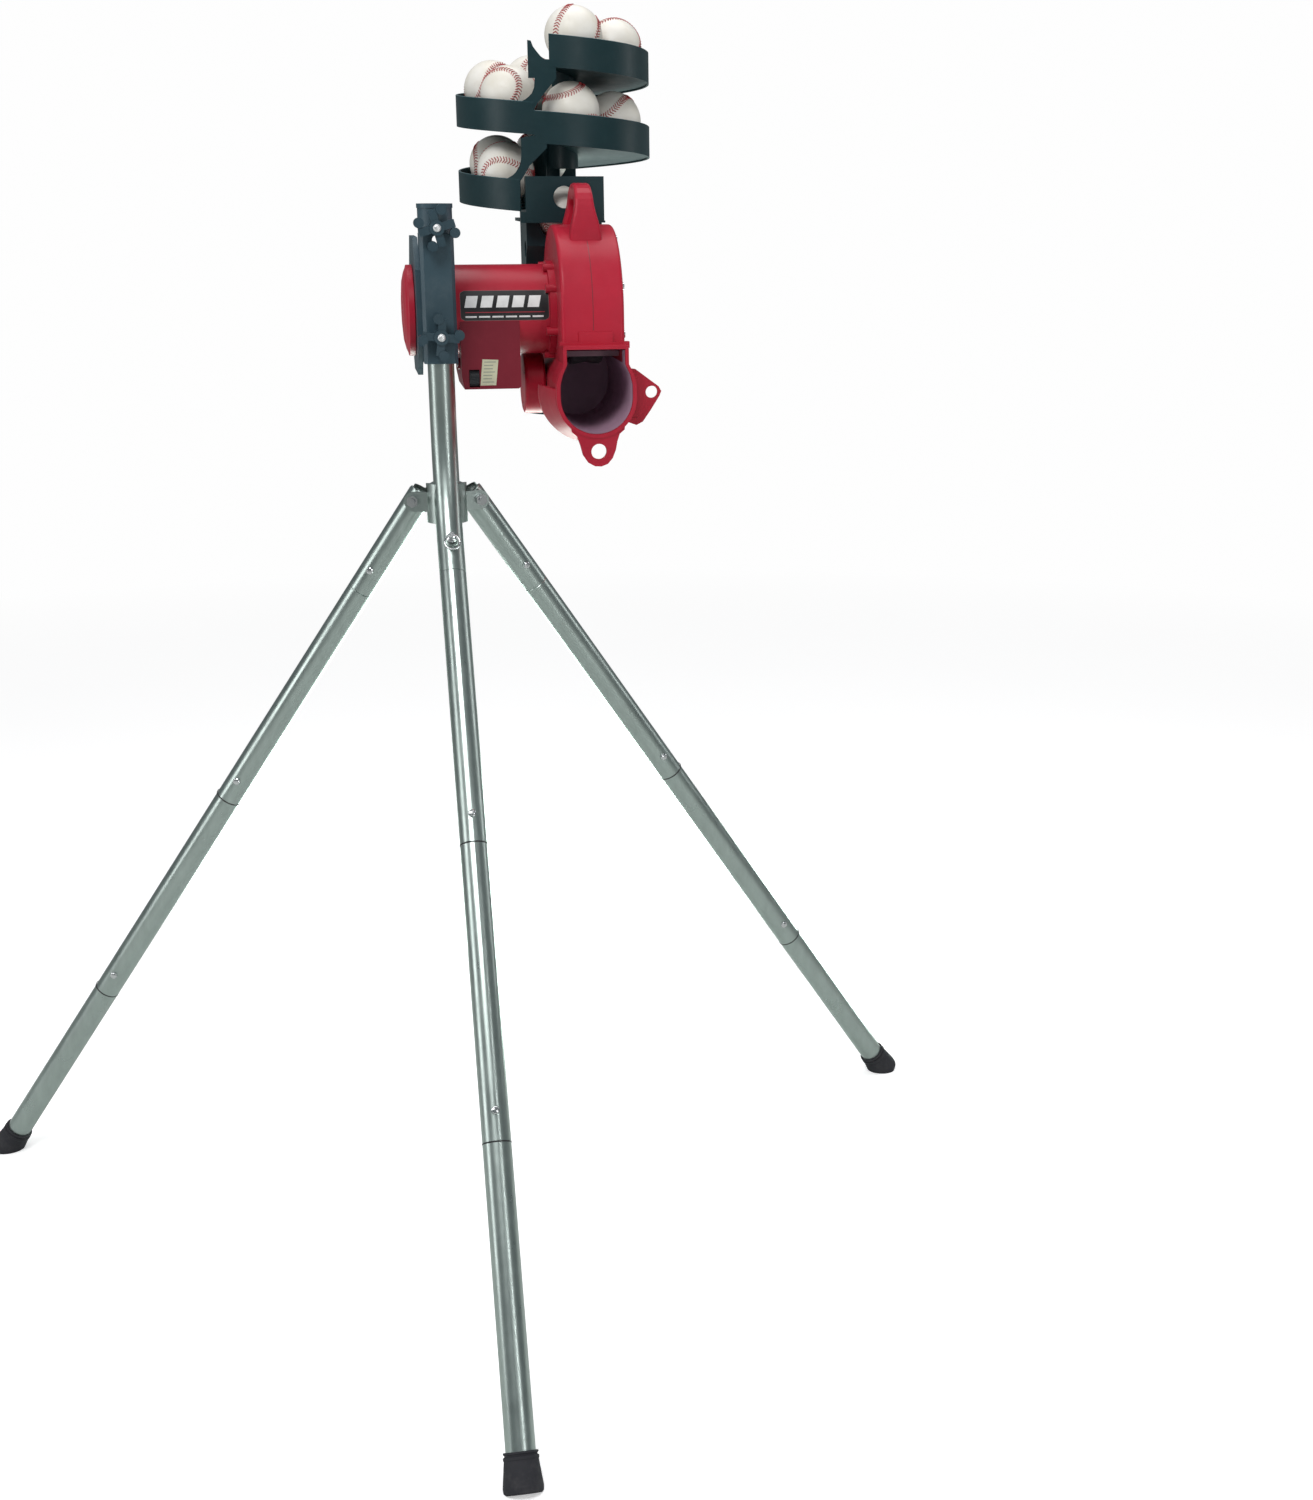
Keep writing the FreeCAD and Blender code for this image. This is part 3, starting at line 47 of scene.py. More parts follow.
MM = 0.001
nodes = frame["nodes"]
record = frame["record"]
joints = {joint["name"]: joint for joint in frame["joints"]}
MAST_Y = joints["head_swivel"]["pos_m"][1]
HEAD_Z = joints["head_swivel"]["pos_m"][2]
MOTOR = Vector(joints["head_tilt"]["pos_m"])
BALL_RADIUS = 36.3 * MM


def at(x, y, z):
    """A place on the head, in millimetres from the mast axis at head level."""
    return Vector((x * MM, MAST_Y + y * MM, HEAD_Z + z * MM))


# ---------------------------------------------------------------- materials
class Look:
    """One node material, built from a Principled shader."""

    def __init__(self, name, colour, roughness, metallic=0.0, coat=0.0, specular=0.5):
        self.material = bpy.data.materials.new(name)
        self.material.use_nodes = True
        self.tree = self.material.node_tree
        self.shader = self.tree.nodes["Principled BSDF"]
        self.shader.inputs["Base Color"].default_value = (*colour, 1)
        self.shader.inputs["Roughness"].default_value = roughness
        self.shader.inputs["Metallic"].default_value = metallic
        self.shader.inputs["Coat Weight"].default_value = coat
        self.shader.inputs["Coat Roughness"].default_value = 0.12
        self.shader.inputs["Specular IOR Level"].default_value = specular
        self.place = self.tree.nodes.new("ShaderNodeTexCoord").outputs["Object"]
        self.normal = None

    def node(self, kind, **settings):
        made = self.tree.nodes.new(kind)
        for key, value in settings.items():
            setattr(made, key, value)
        return made

    def link(self, source, target):
        self.tree.links.new(source, target)

    def stretch(self, scale):
        mapping = self.node("ShaderNodeMapping")
        mapping.inputs["Scale"].default_value = scale
        self.link(self.place, mapping.inputs["Vector"])
        return mapping.outputs["Vector"]

    def noise(self, scale, detail=3.0, rough=0.55, vector=None):
        made = self.node("ShaderNodeTexNoise")
        made.inputs["Scale"].default_value = scale
        made.inputs["Detail"].default_value = detail
        made.inputs["Roughness"].default_value = rough
        self.link(vector or self.place, made.inputs["Vector"])
        return made.outputs["Fac"]

    def ramp(self, value, stops):
        made = self.node("ShaderNodeValToRGB")
        elements = made.color_ramp.elements
        while len(elements) < len(stops):
            elements.new(0.5)
        for element, (position, colour) in zip(elements, stops):
            element.position = position
            element.color = (*colour, 1)
        self.link(value, made.inputs["Fac"])
        return made.outputs["Color"]

    def spread(self, value, low, high, start=0.3, end=0.7):
        made = self.node("ShaderNodeMapRange")
        made.inputs["From Min"].default_value = start
        made.inputs["From Max"].default_value = end
        made.inputs["To Min"].default_value = low
        made.inputs["To Max"].default_value = high
        self.link(value, made.inputs["Value"])
        return made.outputs["Result"]

    def mix(self, factor, first, second, blend="MIX"):
        made = self.node("ShaderNodeMix", data_type="RGBA", blend_type=blend)
        for socket, value in (("Factor", factor), ("A", first), ("B", second)):
            target = next(i for i in made.inputs if i.name == socket and i.enabled)
            if isinstance(value, tuple):
                target.default_value = (*value, 1)
            elif isinstance(value, (int, float)):
                target.default_value = value
            else:
                self.link(value, target)
        return next(o for o in made.outputs if o.enabled)

    def bump(self, height, strength, distance):
        made = self.node("ShaderNodeBump")
        made.inputs["Strength"].default_value = strength
        made.inputs["Distance"].default_value = distance
        self.link(height, made.inputs["Height"])
        if self.normal is not None:
            self.link(self.normal, made.inputs["Normal"])
        self.normal = made.outputs["Normal"]
        self.link(self.normal, self.shader.inputs["Normal"])

    def colour(self, value):
        self.link(value, self.shader.inputs["Base Color"])

    def sheen(self, weight, rough, tint):
        self.shader.inputs["Sheen Weight"].default_value = weight
        self.shader.inputs["Sheen Roughness"].default_value = rough
        self.shader.inputs["Sheen Tint"].default_value = (*tint, 1)

    def roughness(self, value):
        self.link(value, self.shader.inputs["Roughness"])


def shade(colour, factor):
    return tuple(min(1.0, c * factor) for c in colour)


def moulded(name, colour, low, high, coat=0.0, grain=900, depth=0.00006, dust=(0.5, 0.5, 0.5), dusty=0.04,
            specular=0.5):
    """Moulded or painted surface: cloudy colour, fine grain, handling marks and a little dust."""
    look = Look(name, colour, (low + high) / 2, coat=coat, specular=specular)
    cloud = look.noise(9, 4)
    tint = look.ramp(cloud, [(0.3, shade(colour, 0.86)), (0.7, shade(colour, 1.12))])
    fleck = look.noise(260, 2)
    tint = look.mix(look.spread(fleck, 0.0, 0.10, 0.55, 0.8), tint, shade(colour, 1.6))
    marks = look.noise(38, 6, 0.7)
    tint = look.mix(look.spread(marks, 0.0, dusty, 0.5, 0.75), tint, dust)
    look.colour(tint)
    look.roughness(look.spread(look.noise(22, 5, 0.65), low, high))
    look.bump(look.noise(grain, 2), 0.35, depth)
    look.bump(look.noise(14, 2), 0.2, 0.0006)
    return look


RED = (0.44, 0.012, 0.034)
# darker red for the control box: painted shade standing in for the motor's shadow falling on it
SHADED_BOX_RED = (0.19, 0.012, 0.026)
TEAL = (0.009, 0.032, 0.038)
SLATE = (0.030, 0.066, 0.088)
LOOKS = {}
LOOKS["red_plastic"] = moulded("red_plastic", RED, 0.32, 0.46, coat=0.03, dust=(0.60, 0.06, 0.10), dusty=0.08,
                               specular=0.28)
LOOKS["red_metal"] = moulded("red_metal", RED, 0.30, 0.44, coat=0.04, grain=420, depth=0.00009,
                             dust=(0.58, 0.06, 0.10), dusty=0.08, specular=0.3)
for name in ("red_plastic", "red_metal"):
    LOOKS[name].sheen(0.03, 0.35, (1.0, 0.70, 0.70))
# control box material: a darker copy of the red, painted shade
LOOKS["box_painted_shade_red"] = moulded("box_painted_shade_red", SHADED_BOX_RED, 0.36, 0.50, dust=(0.40, 0.05, 0.08), dusty=0.08,
                           specular=0.28)
LOOKS["slate_metal"] = moulded("slate_metal", SLATE, 0.36, 0.52, grain=700, depth=0.00012)
LOOKS["slate_plastic"] = moulded("slate_plastic", shade(SLATE, 0.8), 0.30, 0.48, grain=800)
LOOKS["teal_plastic"] = moulded("teal_plastic", TEAL, 0.32, 0.46, grain=1100, dust=(0.08, 0.15, 0.15),
                                specular=0.3)
LOOKS["black_plastic"] = moulded("black_plastic", (0.012, 0.014, 0.018), 0.35, 0.5, grain=900)
LOOKS["foot_rubber"] = moulded("foot_rubber", (0.018, 0.018, 0.024), 0.62, 0.85, grain=1400, depth=0.00015,
                               dust=(0.20, 0.19, 0.18), dusty=0.14)
LOOKS["tyre_rubber"] = moulded("tyre_rubber", (0.022, 0.022, 0.024), 0.65, 0.85, grain=1200, depth=0.0002,
                               dust=(0.4, 0.38, 0.35), dusty=0.2)


def steel(name, colour, low, high, streak=(1, 1, 1), depth=0.00004):
    """Bare or plated metal with drawn streaks, smudges and fine scratches."""
    look = Look(name, colour, (low + high) / 2, metallic=1.0)
    drawn = look.noise(6, 5, 0.7, look.stretch(streak))
    tint = look.ramp(drawn, [(0.3, shade(colour, 0.90)), (0.7, shade(colour, 1.06))])
    smudge = look.noise(5, 4, 0.6)
    tint = look.mix(look.spread(smudge, 0.0, 0.22, 0.5, 0.8), tint, shade(colour, 0.72))
    look.colour(tint)
    look.roughness(look.spread(look.noise(16, 6, 0.75), low, high))
    look.bump(look.noise(320, 3, 0.6), 0.15, depth)
    return look


LOOKS["steel_tube"] = steel("steel_tube", (0.44, 0.505, 0.48), 0.25, 0.38, (14, 14, 3))
LOOKS["hardware"] = steel("hardware", (0.66, 0.67, 0.68), 0.14, 0.30, (8, 8, 8))
LOOKS["bright_bolt"] = steel("bright_bolt", (0.93, 0.93, 0.94), 0.38, 0.52, (8, 8, 8))
LOOKS["lamination_steel"] = steel("lamination_steel", (0.30, 0.30, 0.31), 0.35, 0.55, (300, 2, 2), 0.0001)
LOOKS["wheel_aluminium"] = steel("wheel_aluminium", (0.62, 0.63, 0.65), 0.25, 0.42, (30, 3, 3))
LOOKS["ball_leather"] = Look("ball_leather", (0.84, 0.80, 0.72), 0.5)

for entry in record["subparts"]:
    # the control box takes the darker red copy: painted shade
    look = LOOKS["box_painted_shade_red"] if entry["node"] == "control_box" else LOOKS[entry["material_slot"]]
    for slot in nodes[entry["node"]].material_slots:
        slot.material = look.material


# ---------------------------------------------------------------- mesh helpers
def piece(name, mesh_data, body, slot_name, *looks, smooth=True):
    """A new object that rides a body and takes the given looks as its materials; slot_name is not used."""
    obj = bpy.data.objects.new(name, mesh_data)
    bpy.context.scene.collection.objects.link(obj)
    for look in looks:
        mesh_data.materials.append(look.material)
    if smooth:
        mesh_data.shade_smooth()
    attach(obj, body)
    return obj


def mesh(name, verts, faces):
    data = bpy.data.meshes.new(name)
    data.from_pydata([tuple(v) for v in verts], [], faces)
    data.validate()
    data.update()
    return data


def lathe(profile, origin, axis, segments=40):
    """Vertices and faces of a turned shape; the profile is (radius, distance along axis) in millimetres."""
    axis = Vector(axis).normalized()
    side = axis.orthogonal().normalized()
    other = axis.cross(side)
    verts = []
    for k in range(segments):
        turn = 2 * math.pi * k / segments
        ray = side * math.cos(turn) + other * math.sin(turn)
        for radius, along in profile:
            verts.append(origin + ray * radius * MM + axis * along * MM)
    rows = len(profile)
    faces = []
    for k in range(segments):
        n = (k + 1) % segments
        for j in range(rows - 1):
            faces.append((k * rows + j, n * rows + j, n * rows + j + 1, k * rows + j + 1))
    return verts, faces


# ---------------------------------------------------------------- baseballs
def leather_look():
    """White hide with scuffs and fine pores."""
    look = Look("baseball_hide", (0.80, 0.77, 0.70), 0.45, coat=0.15)
    scuff = look.noise(70, 5, 0.7)
    tint = look.ramp(look.noise(24, 3), [(0.3, (0.76, 0.72, 0.63)), (0.7, (0.86, 0.84, 0.79))])
    tint = look.mix(look.spread(scuff, 0.0, 0.35, 0.56, 0.8), tint, (0.62, 0.54, 0.44))
    look.colour(tint)
    look.roughness(look.spread(scuff, 0.36, 0.6))
    cells = look.node("ShaderNodeTexVoronoi")
    cells.inputs["Scale"].default_value = 900
    look.link(look.place, cells.inputs["Vector"])
    look.bump(cells.outputs["Distance"], 0.35, 0.00008)
    return look


def thread_look():
    """Red waxed thread."""
    look = Look("baseball_thread", (0.36, 0.05, 0.05), 0.55)
    look.colour(look.ramp(look.noise(300, 2), [(0.3, (0.30, 0.02, 0.025)), (0.7, (0.48, 0.045, 0.05))]))
    look.bump(look.noise(1500, 2), 0.5, 0.0001)
    return look


HIDE = leather_look()
THREAD = thread_look()
SEAM_A = 0.74
SEAM_B = 0.26
SEAM_STEPS = 720
STITCHES = 104
THREAD_RADIUS = 0.6 * MM
# one stitch: millimetres across the seam, along it and above the hide
STITCH = ((0.25, 0.0, -0.25), (1.7, 0.9, 0.12), (3.2, 1.9, 0.16), (4.3, 2.5, -0.35))


def seam(t):
    """A point on the closed seam curve of a unit ball."""
    c = 2 * math.sqrt(SEAM_A * SEAM_B)
    x = SEAM_A * math.cos(t) + SEAM_B * math.cos(3 * t)
    y = SEAM_A * math.sin(t) - SEAM_B * math.sin(3 * t)
    return Vector((x, y, c * math.sin(2 * t)))


def ball_mesh():
    """One baseball: a hide raised beside the seam, and a pair of threads for each stitch."""
    count = SEAM_STEPS
    line = [seam(2 * math.pi * k / count).normalized() for k in range(count)]
    tree = KDTree(count)
    for k, point in enumerate(line):
        tree.insert(point, k)
    tree.balance()
    bm = bmesh.new()
    bmesh.ops.create_icosphere(bm, subdivisions=6, radius=1.0)
    for v in bm.verts:
        gap = tree.find(v.co)[2] * BALL_RADIUS / MM
        lift = 0.22 * math.exp(-((gap - 2.6) / 1.3) ** 2) - 0.55 * math.exp(-(gap / 0.9) ** 2) - 0.22
        v.co = v.co.normalized() * (BALL_RADIUS + lift * MM)
    for f in bm.faces:
        f.smooth = True
    steps = []
    total = 0.0
    for k in range(count):
        steps.append(total)
        total += (line[(k + 1) % count] - line[k]).length
    for n in range(STITCHES):
        wanted = total * n / STITCHES
        k = max(i for i in range(count) if steps[i] <= wanted)
        centre = line[k]
        ahead = (line[(k + 1) % count] - line[k - 1]).normalized()
        across = centre.cross(ahead).normalized()
        for side in (-1, 1):
            spine = []
            for u, v, h in STITCH:
                spot = centre * BALL_RADIUS + (across * side * u + ahead * v) * MM
                spine.append(spot.normalized() * (BALL_RADIUS + h * MM))
            add_thread(bm, spine, THREAD_RADIUS)
    data = bpy.data.meshes.new("baseball")
    bm.to_mesh(data)
    bm.free()
    return data


def add_thread(bm, spine, radius):
    """A closed six-sided tube along the points of spine."""
    rings = []
    for k, p in enumerate(spine):
        along = (spine[min(k + 1, len(spine) - 1)] - spine[max(k - 1, 0)]).normalized()
        up = p.normalized()
        side = along.cross(up).normalized()
        rings.append([bm.verts.new(p + (side * math.cos(a) + up * math.sin(a)) * radius)
                      for a in (0, math.pi / 3, 2 * math.pi / 3, math.pi, 4.2, 5.2)])
    for a, b in zip(rings, rings[1:]):
        for k in range(6):
            f = bm.faces.new((a[k], a[(k + 1) % 6], b[(k + 1) % 6], b[k]))
            f.material_index = 1
            f.smooth = True
    for ring in (rings[0], rings[-1]):
        f = bm.faces.new(ring if ring is rings[-1] else ring[::-1])
        f.material_index = 1


def ball_centres():
    """The centres of the separate spheres in the CAD node."""
    bm = bmesh.new()
    bm.from_mesh(nodes["baseballs"].data)
    bmesh.ops.remove_doubles(bm, verts=bm.verts, dist=1e-6)
    bm.verts.ensure_lookup_table()
    seen = set()
    centres = []
    for start in bm.verts:
        if start.index in seen:
            continue
        stack = [start]
        group = []
        seen.add(start.index)
        while stack:
            v = stack.pop()
            group.append(v.co)
            for e in v.link_edges:
                o = e.other_vert(v)
                if o.index not in seen:
                    seen.add(o.index)
                    stack.append(o)
        low = Vector([min(c[i] for c in group) for i in range(3)])
        high = Vector([max(c[i] for c in group) for i in range(3)])
        centres.append((low + high) / 2)
    bm.free()
    return sorted(centres, key=lambda c: (round(c.z, 4), round(c.x, 4)))


BALL = ball_mesh()
BALL.materials.append(HIDE.material)
BALL.materials.append(THREAD.material)
for number, centre in enumerate(ball_centres(), 1):
    obj = bpy.data.objects.new(f"baseball_{number}", BALL)
    bpy.context.scene.collection.objects.link(obj)
    spin = Euler([random.uniform(0, 2 * math.pi) for _ in range(3)])
    obj.matrix_world = Matrix.Translation(centre) @ spin.to_matrix().to_4x4()
    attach(obj, "head")
    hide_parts("baseballs")


# ---------------------------------------------------------------- label on the motor
MOTOR_RADIUS = 54.0


def on_motor(x, arc, lift):
    """A point on the motor's front: x along it, arc up round it, both in millimetres."""
    turn = arc / MOTOR_RADIUS
    r = (MOTOR_RADIUS + lift) * MM
    return Vector((x * MM, MOTOR.y - r * math.cos(turn), MOTOR.z + r * math.sin(turn)))


def panel(name, x, arc, corner, lift, look, slant=0.0):
    """A patch wrapped on the motor, with its range along x, its range round the arc and its corner radius."""
    rows = 18
    columns = 10
    verts = []
    for i in range(rows + 1):
        v = arc[0] + (arc[1] - arc[0]) * i / rows
        depth = max(corner - (v - arc[0]), corner - (arc[1] - v), 0.0)
        inset = corner - math.sqrt(max(corner * corner - depth * depth, 0.0)) if corner else 0.0
        for j in range(columns + 1):
            f = j / columns
            across = x[0] + inset + (x[1] - x[0] - 2 * inset) * f + slant * (v - arc[0])
            verts.append(on_motor(across, v, lift))
    faces = []
    for i in range(rows):
        for j in range(columns):
            a = i * (columns + 1) + j
            faces.append((a, a + 1, a + columns + 2, a + columns + 1))
    return piece(name, mesh(name, verts, faces), "head", "black_plastic", look)


def print_look(name, colour, rough=0.35):
    """Smooth printed or painted film."""
    look = Look(name, colour, rough, coat=0.4)
    look.colour(look.ramp(look.noise(60, 4), [(0.3, shade(colour, 0.88)), (0.7, shade(colour, 1.08))]))
    look.roughness(look.spread(look.noise(45, 4), rough - 0.08, rough + 0.12))
    return look


LABEL_BLACK = print_look("label_black", (0.012, 0.010, 0.012))
LABEL_WHITE = print_look("label_white", (0.80, 0.80, 0.80))
LABEL_RIM = print_look("label_rim", (0.13, 0.10, 0.10))
LABEL_RED = print_look("label_red", (0.45, 0.03, 0.05))
STICKER = print_look("sticker_cream", (0.62, 0.62, 0.44), 0.5)
STICKER_INK = print_look("sticker_ink", (0.30, 0.33, 0.26), 0.6)
LABEL_BARS = 5
BAR_PITCH = 19.0
BAR_WIDTH = 14.0
LABEL_DASHES = 6
DASH_PITCH = 16.2
DASH_WIDTH = 13.5
PRINT_LIFT = 0.32

panel("label_rim", (27.2, 134.4), (-10.2, 26.2), 5.2, 0.10, LABEL_RIM)
panel("label_ground", (27.8, 133.8), (-9.6, 25.6), 4.6, 0.22, LABEL_BLACK)
for n in range(LABEL_BARS):
    left = 32 + BAR_PITCH * n
    panel(f"label_bar_{n}", (left, left + BAR_WIDTH), (5.5, 19.5), 0, PRINT_LIFT, LABEL_WHITE, slant=0.22)
panel("label_line", (33, 129), (-0.6, 0.2), 0, PRINT_LIFT, LABEL_RED)
for n in range(LABEL_DASHES):
    left = 33 + DASH_PITCH * n
    panel(f"label_dash_{n}", (left, left + DASH_WIDTH), (-6.4, -4.4), 0, PRINT_LIFT, LABEL_WHITE)


# ---------------------------------------------------------------- sticker on the control box
STICKER_Y = 21.8
STICKER_LOW = -94.5
STICKER_LEAN = 0.115
INK_HEIGHT = 1.1


def card(name, corners, y, look):
    """A flat four-cornered patch that faces the front, its corners given in X and Z."""
    verts = [at(x, y, z) for x, z in corners]
    return piece(name, mesh(name, verts, [(0, 1, 2, 3)]), "head", "black_plastic", look, smooth=False)


card("sticker", [(48.0, STICKER_LOW), (67.2, STICKER_LOW), (70.8, -64), (51.6, -63)], STICKER_Y, STICKER)
for n in range(7):
    z = -91 + 4 * n
    left = 50.5 + (z - STICKER_LOW) * STICKER_LEAN
    right = left + (11 if n % 3 else 14)
    corners = [(left, z), (right, z), (right, z + INK_HEIGHT), (left, z + INK_HEIGHT)]
    card(f"sticker_line_{n}", corners, STICKER_Y - 0.1, STICKER_INK)


# ---------------------------------------------------------------- small hardware
KNOB_LEVELS = {"upper": 93, "lower": -32}
KNOB_FACE_Y = -41.2
POD_COVER = (109.3, 112, -100)
POD_SCREW_CIRCLE = 28


def screw_head(name, origin, axis, body, radius, height):
    """A round head with a hollow drive."""
    profile = [(0, height), (radius * 0.25, height), (radius * 0.3, height * 0.55), (radius * 0.38, height),
               (radius * 0.8, height * 0.8), (radius, height * 0.35), (radius, 0)]
    verts, faces = lathe(profile, origin, axis, 28)
    return piece(name, mesh(name, verts, faces), body, "hardware", LOOKS["hardware"])


for tag, level in KNOB_LEVELS.items():
    profile = [(0, 2.3), (2.4, 2.2), (3.6, 1.7), (4.4, 0.9), (4.8, 0)]
    verts, faces = lathe(profile, at(0, KNOB_FACE_Y, level), (0, -1, 0))
    bolt = mesh("knob_bolt", verts, faces)
    piece(f"knob_bolt_{tag}", bolt, f"knob_{tag}", "hardware", LOOKS["bright_bolt"])
for n in range(3):
    turn = math.radians(120 * n + 150)
    y = POD_COVER[1] + POD_SCREW_CIRCLE * math.cos(turn)
    z = POD_COVER[2] + POD_SCREW_CIRCLE * math.sin(turn)
    screw_head(f"pod_screw_{n}", at(POD_COVER[0], y, z), (-1, 0, 0), "head", 2.7, 1.4)

# ---------------------------------------------------------------- dark joints between the leg sections
JOINT = print_look("leg_joint", (0.02, 0.02, 0.022), 0.6)


def middle(node):
    """The centre of a node's box."""
    corners = [node.matrix_world @ Vector(corner) for corner in node.bound_box]
    return sum(corners, Vector()) / len(corners)


def leg_joint(side, number, body):
    """A thin dark ring where one leg section's tube stops at the next one."""
    upper = nodes[f"{side}_leg_section_{number}"]
    lower = nodes[f"{side}_leg_section_{number + 1}"]
    along = (middle(lower) - middle(upper)).normalized()
    start = middle(lower)
    points = [lower.matrix_world @ v.co for v in lower.data.vertices]
    reach = [((p - start) - along * (p - start).dot(along)).length for p in points]
    wide = max(reach)
    top = min((p - start).dot(along) for p, r in zip(points, reach) if r > wide - 0.05 * MM)
    spot = start + along * top
    radius = wide / MM + 0.12
    profile = [(radius - 0.6, -0.9), (radius, -0.7), (radius, 0.5), (radius - 0.6, 0.7)]
    verts, faces = lathe(profile, spot, along)
    piece(f"{side}_leg_joint_{number}", mesh("leg_joint", verts, faces), body, "hardware", JOINT)


for side, body in (("front", "stand"), ("left", "left_rear_leg"), ("right", "right_rear_leg")):
    for number in (1, 2):
        leg_joint(side, number, body)

# ---------------------------------------------------------------- seam round the wheel housing
WHEEL_X = 182
WHEEL_Y = 75
WHEEL_Z = -7
DRUM_RADIUS = 101.12
SEAM_HALF = 0.4
SEAM = print_look("housing_seam", (0.16, 0.012, 0.02), 0.5)
drum_turns = [math.radians(84 + 2.5 * k) for k in range(40)]
drum_line = [(WHEEL_Y + DRUM_RADIUS * math.cos(a), WHEEL_Z + DRUM_RADIUS * math.sin(a)) for a in drum_turns
             if a < math.pi]
drum_line += [(WHEEL_Y - DRUM_RADIUS, WHEEL_Z), (WHEEL_Y - DRUM_RADIUS, WHEEL_Z - 20)]
verts = [at(WHEEL_X + side * SEAM_HALF, y, z) for y, z in drum_line for side in (-1, 1)]
faces = [(2 * k, 2 * k + 1, 2 * k + 3, 2 * k + 2) for k in range(len(drum_line) - 1)]
piece("housing_seam", mesh("housing_seam", verts, faces), "head", "red_plastic", SEAM)

# ---------------------------------------------------------------- rolled lips of the trays, their lighter teal a painted highlight on the wall tops
TOWER_X = 170
TOWER_Y = 240
WALL_RADIUS = 122.7
TRAY_FALL = 30
LIP_STEPS = 72
# lighter teal than the tray plastic: painted highlight along the top edges
LIP_PAINTED_HIGHLIGHT = moulded("tray_lip", (0.05, 0.12, 0.14), 0.2, 0.3, coat=0.6)
# each tray's number, first angle, sweep and the height of its wall's top where it starts
TRAYS = ((1, -98, 168, 317.5), (2, 70, 182.5, 268.7), (3, -107.5, 177.5, 228.6), (4, 70, 173, 175.6))
# the lip's section: millimetres outward from the wall's middle and above its top
LIP_SECTION = ((-1.25, -0.8), (-1.1, 0.1), (-0.6, 0.5), (0, 0.65), (0.6, 0.5), (1.1, 0.1), (1.25, -0.8))
for number, start, sweep, top in TRAYS:
    verts = []
    for k in range(LIP_STEPS + 1):
        turned = sweep * k / LIP_STEPS
        turn = math.radians(start + turned)
        level = top - TRAY_FALL * turned / 180
        for outward, lift in LIP_SECTION:
            r = WALL_RADIUS + outward
            verts.append(at(TOWER_X + r * math.cos(turn), TOWER_Y + r * math.sin(turn), level + lift))
    faces = []
    points = len(LIP_SECTION)
    for k in range(LIP_STEPS):
        for j in range(points - 1):
            a = k * points + j
            faces.append((a, a + 1, a + points + 1, a + points))
    piece(f"tray_lip_{number}", mesh("tray_lip", verts, faces), "head", "teal_plastic", LIP_PAINTED_HIGHLIGHT)

# ---------------------------------------------------------------- barrel liner: purple sheets in the bore, painted shade of its dark inside
BORE_NECK = 35.1
BORE_RADIUS = 43.8
BORE_CENTRE = -105.0


def bore_ring(shrink):
    """Outline of the barrel's bore in X and Z, from its left neck round the bottom to its right neck."""
    neck = BORE_NECK - shrink
    wide = BORE_RADIUS - shrink
    side = [(neck, -49.2 - shrink), (neck, -66.0), (40.8 - shrink, -78.0), (wide, -90.0), (wide, BORE_CENTRE)]
    turns = [math.pi + math.pi * k / 32 for k in range(1, 32)]
    bottom = [(wide * math.cos(turn), BORE_CENTRE + wide * math.sin(turn)) for turn in turns]
    return [(-x, z) for x, z in side] + bottom + side[::-1]


# purple sheet laid over the red bore: painted shade of the barrel's dark inside
BORE_PAINTED_SHADE = Look("painted_bore_shade", (0.40, 0.25, 0.36), 0.5)
BORE_PAINTED_SHADE.colour(BORE_PAINTED_SHADE.ramp(BORE_PAINTED_SHADE.noise(12, 4), [(0.3, (0.42, 0.26, 0.36)), (0.7, (0.54, 0.35, 0.46))]))
BORE_PAINTED_SHADE.roughness(BORE_PAINTED_SHADE.spread(BORE_PAINTED_SHADE.noise(30, 5), 0.34, 0.55))
BORE_PAINTED_SHADE.bump(BORE_PAINTED_SHADE.noise(160, 4), 0.4, 0.0003)
# dark plate across the neck, hiding the tyre: painted shade
CEILING_PAINTED_SHADE = print_look("barrel_shade", (0.16, 0.07, 0.10), 0.6)
BREECH_Y = 168.5
CEILING_Z = -50.5
CEILING_HALF = 34.6
ring = bore_ring(0.3)
count = len(ring)
verts = []
faces = []


def line_bore(stations, first, last):
    """Wall of the bore through the stations along Y, from ring point first to ring point last."""
    base = len(verts)
    verts.extend(at(WHEEL_X + x, y, z) for y in stations for x, z in ring)
    for row in range(len(stations) - 1):
        for k in range(first, last):
            a = base + row * count + k
            n = base + row * count + (k + 1) % count
            faces.append((a, n, n + count, a + count))


line_bore((-43.5, -36, -28, -22), 0, count)
line_bore((-22, 20, 60, 100, 140, 168), 1, count - 2)
piece("barrel_painted_shade_sheet", mesh("barrel_painted_shade_sheet", verts, faces), "head", "black_plastic", BORE_PAINTED_SHADE)
# sheet across the back of the bore in the same purple: painted shade over the feed tube's highlight
back = [at(WHEEL_X + x, BREECH_Y, z) for x, z in ring]
piece("breech_face", mesh("breech_face", back, [tuple(range(count))]), "head", "black_plastic", BORE_PAINTED_SHADE,
      smooth=False)
ceiling = []
for y, z in ((-22, CEILING_Z), (4, CEILING_Z), (4, CEILING_Z), (4, -60)):
    ceiling += [at(WHEEL_X - CEILING_HALF, y, z), at(WHEEL_X + CEILING_HALF, y, z)]
ceiling_mesh = mesh("barrel_ceiling", ceiling, [(0, 1, 3, 2), (4, 5, 7, 6)])
piece("barrel_ceiling", ceiling_mesh, "head", "black_plastic", CEILING_PAINTED_SHADE, smooth=False)

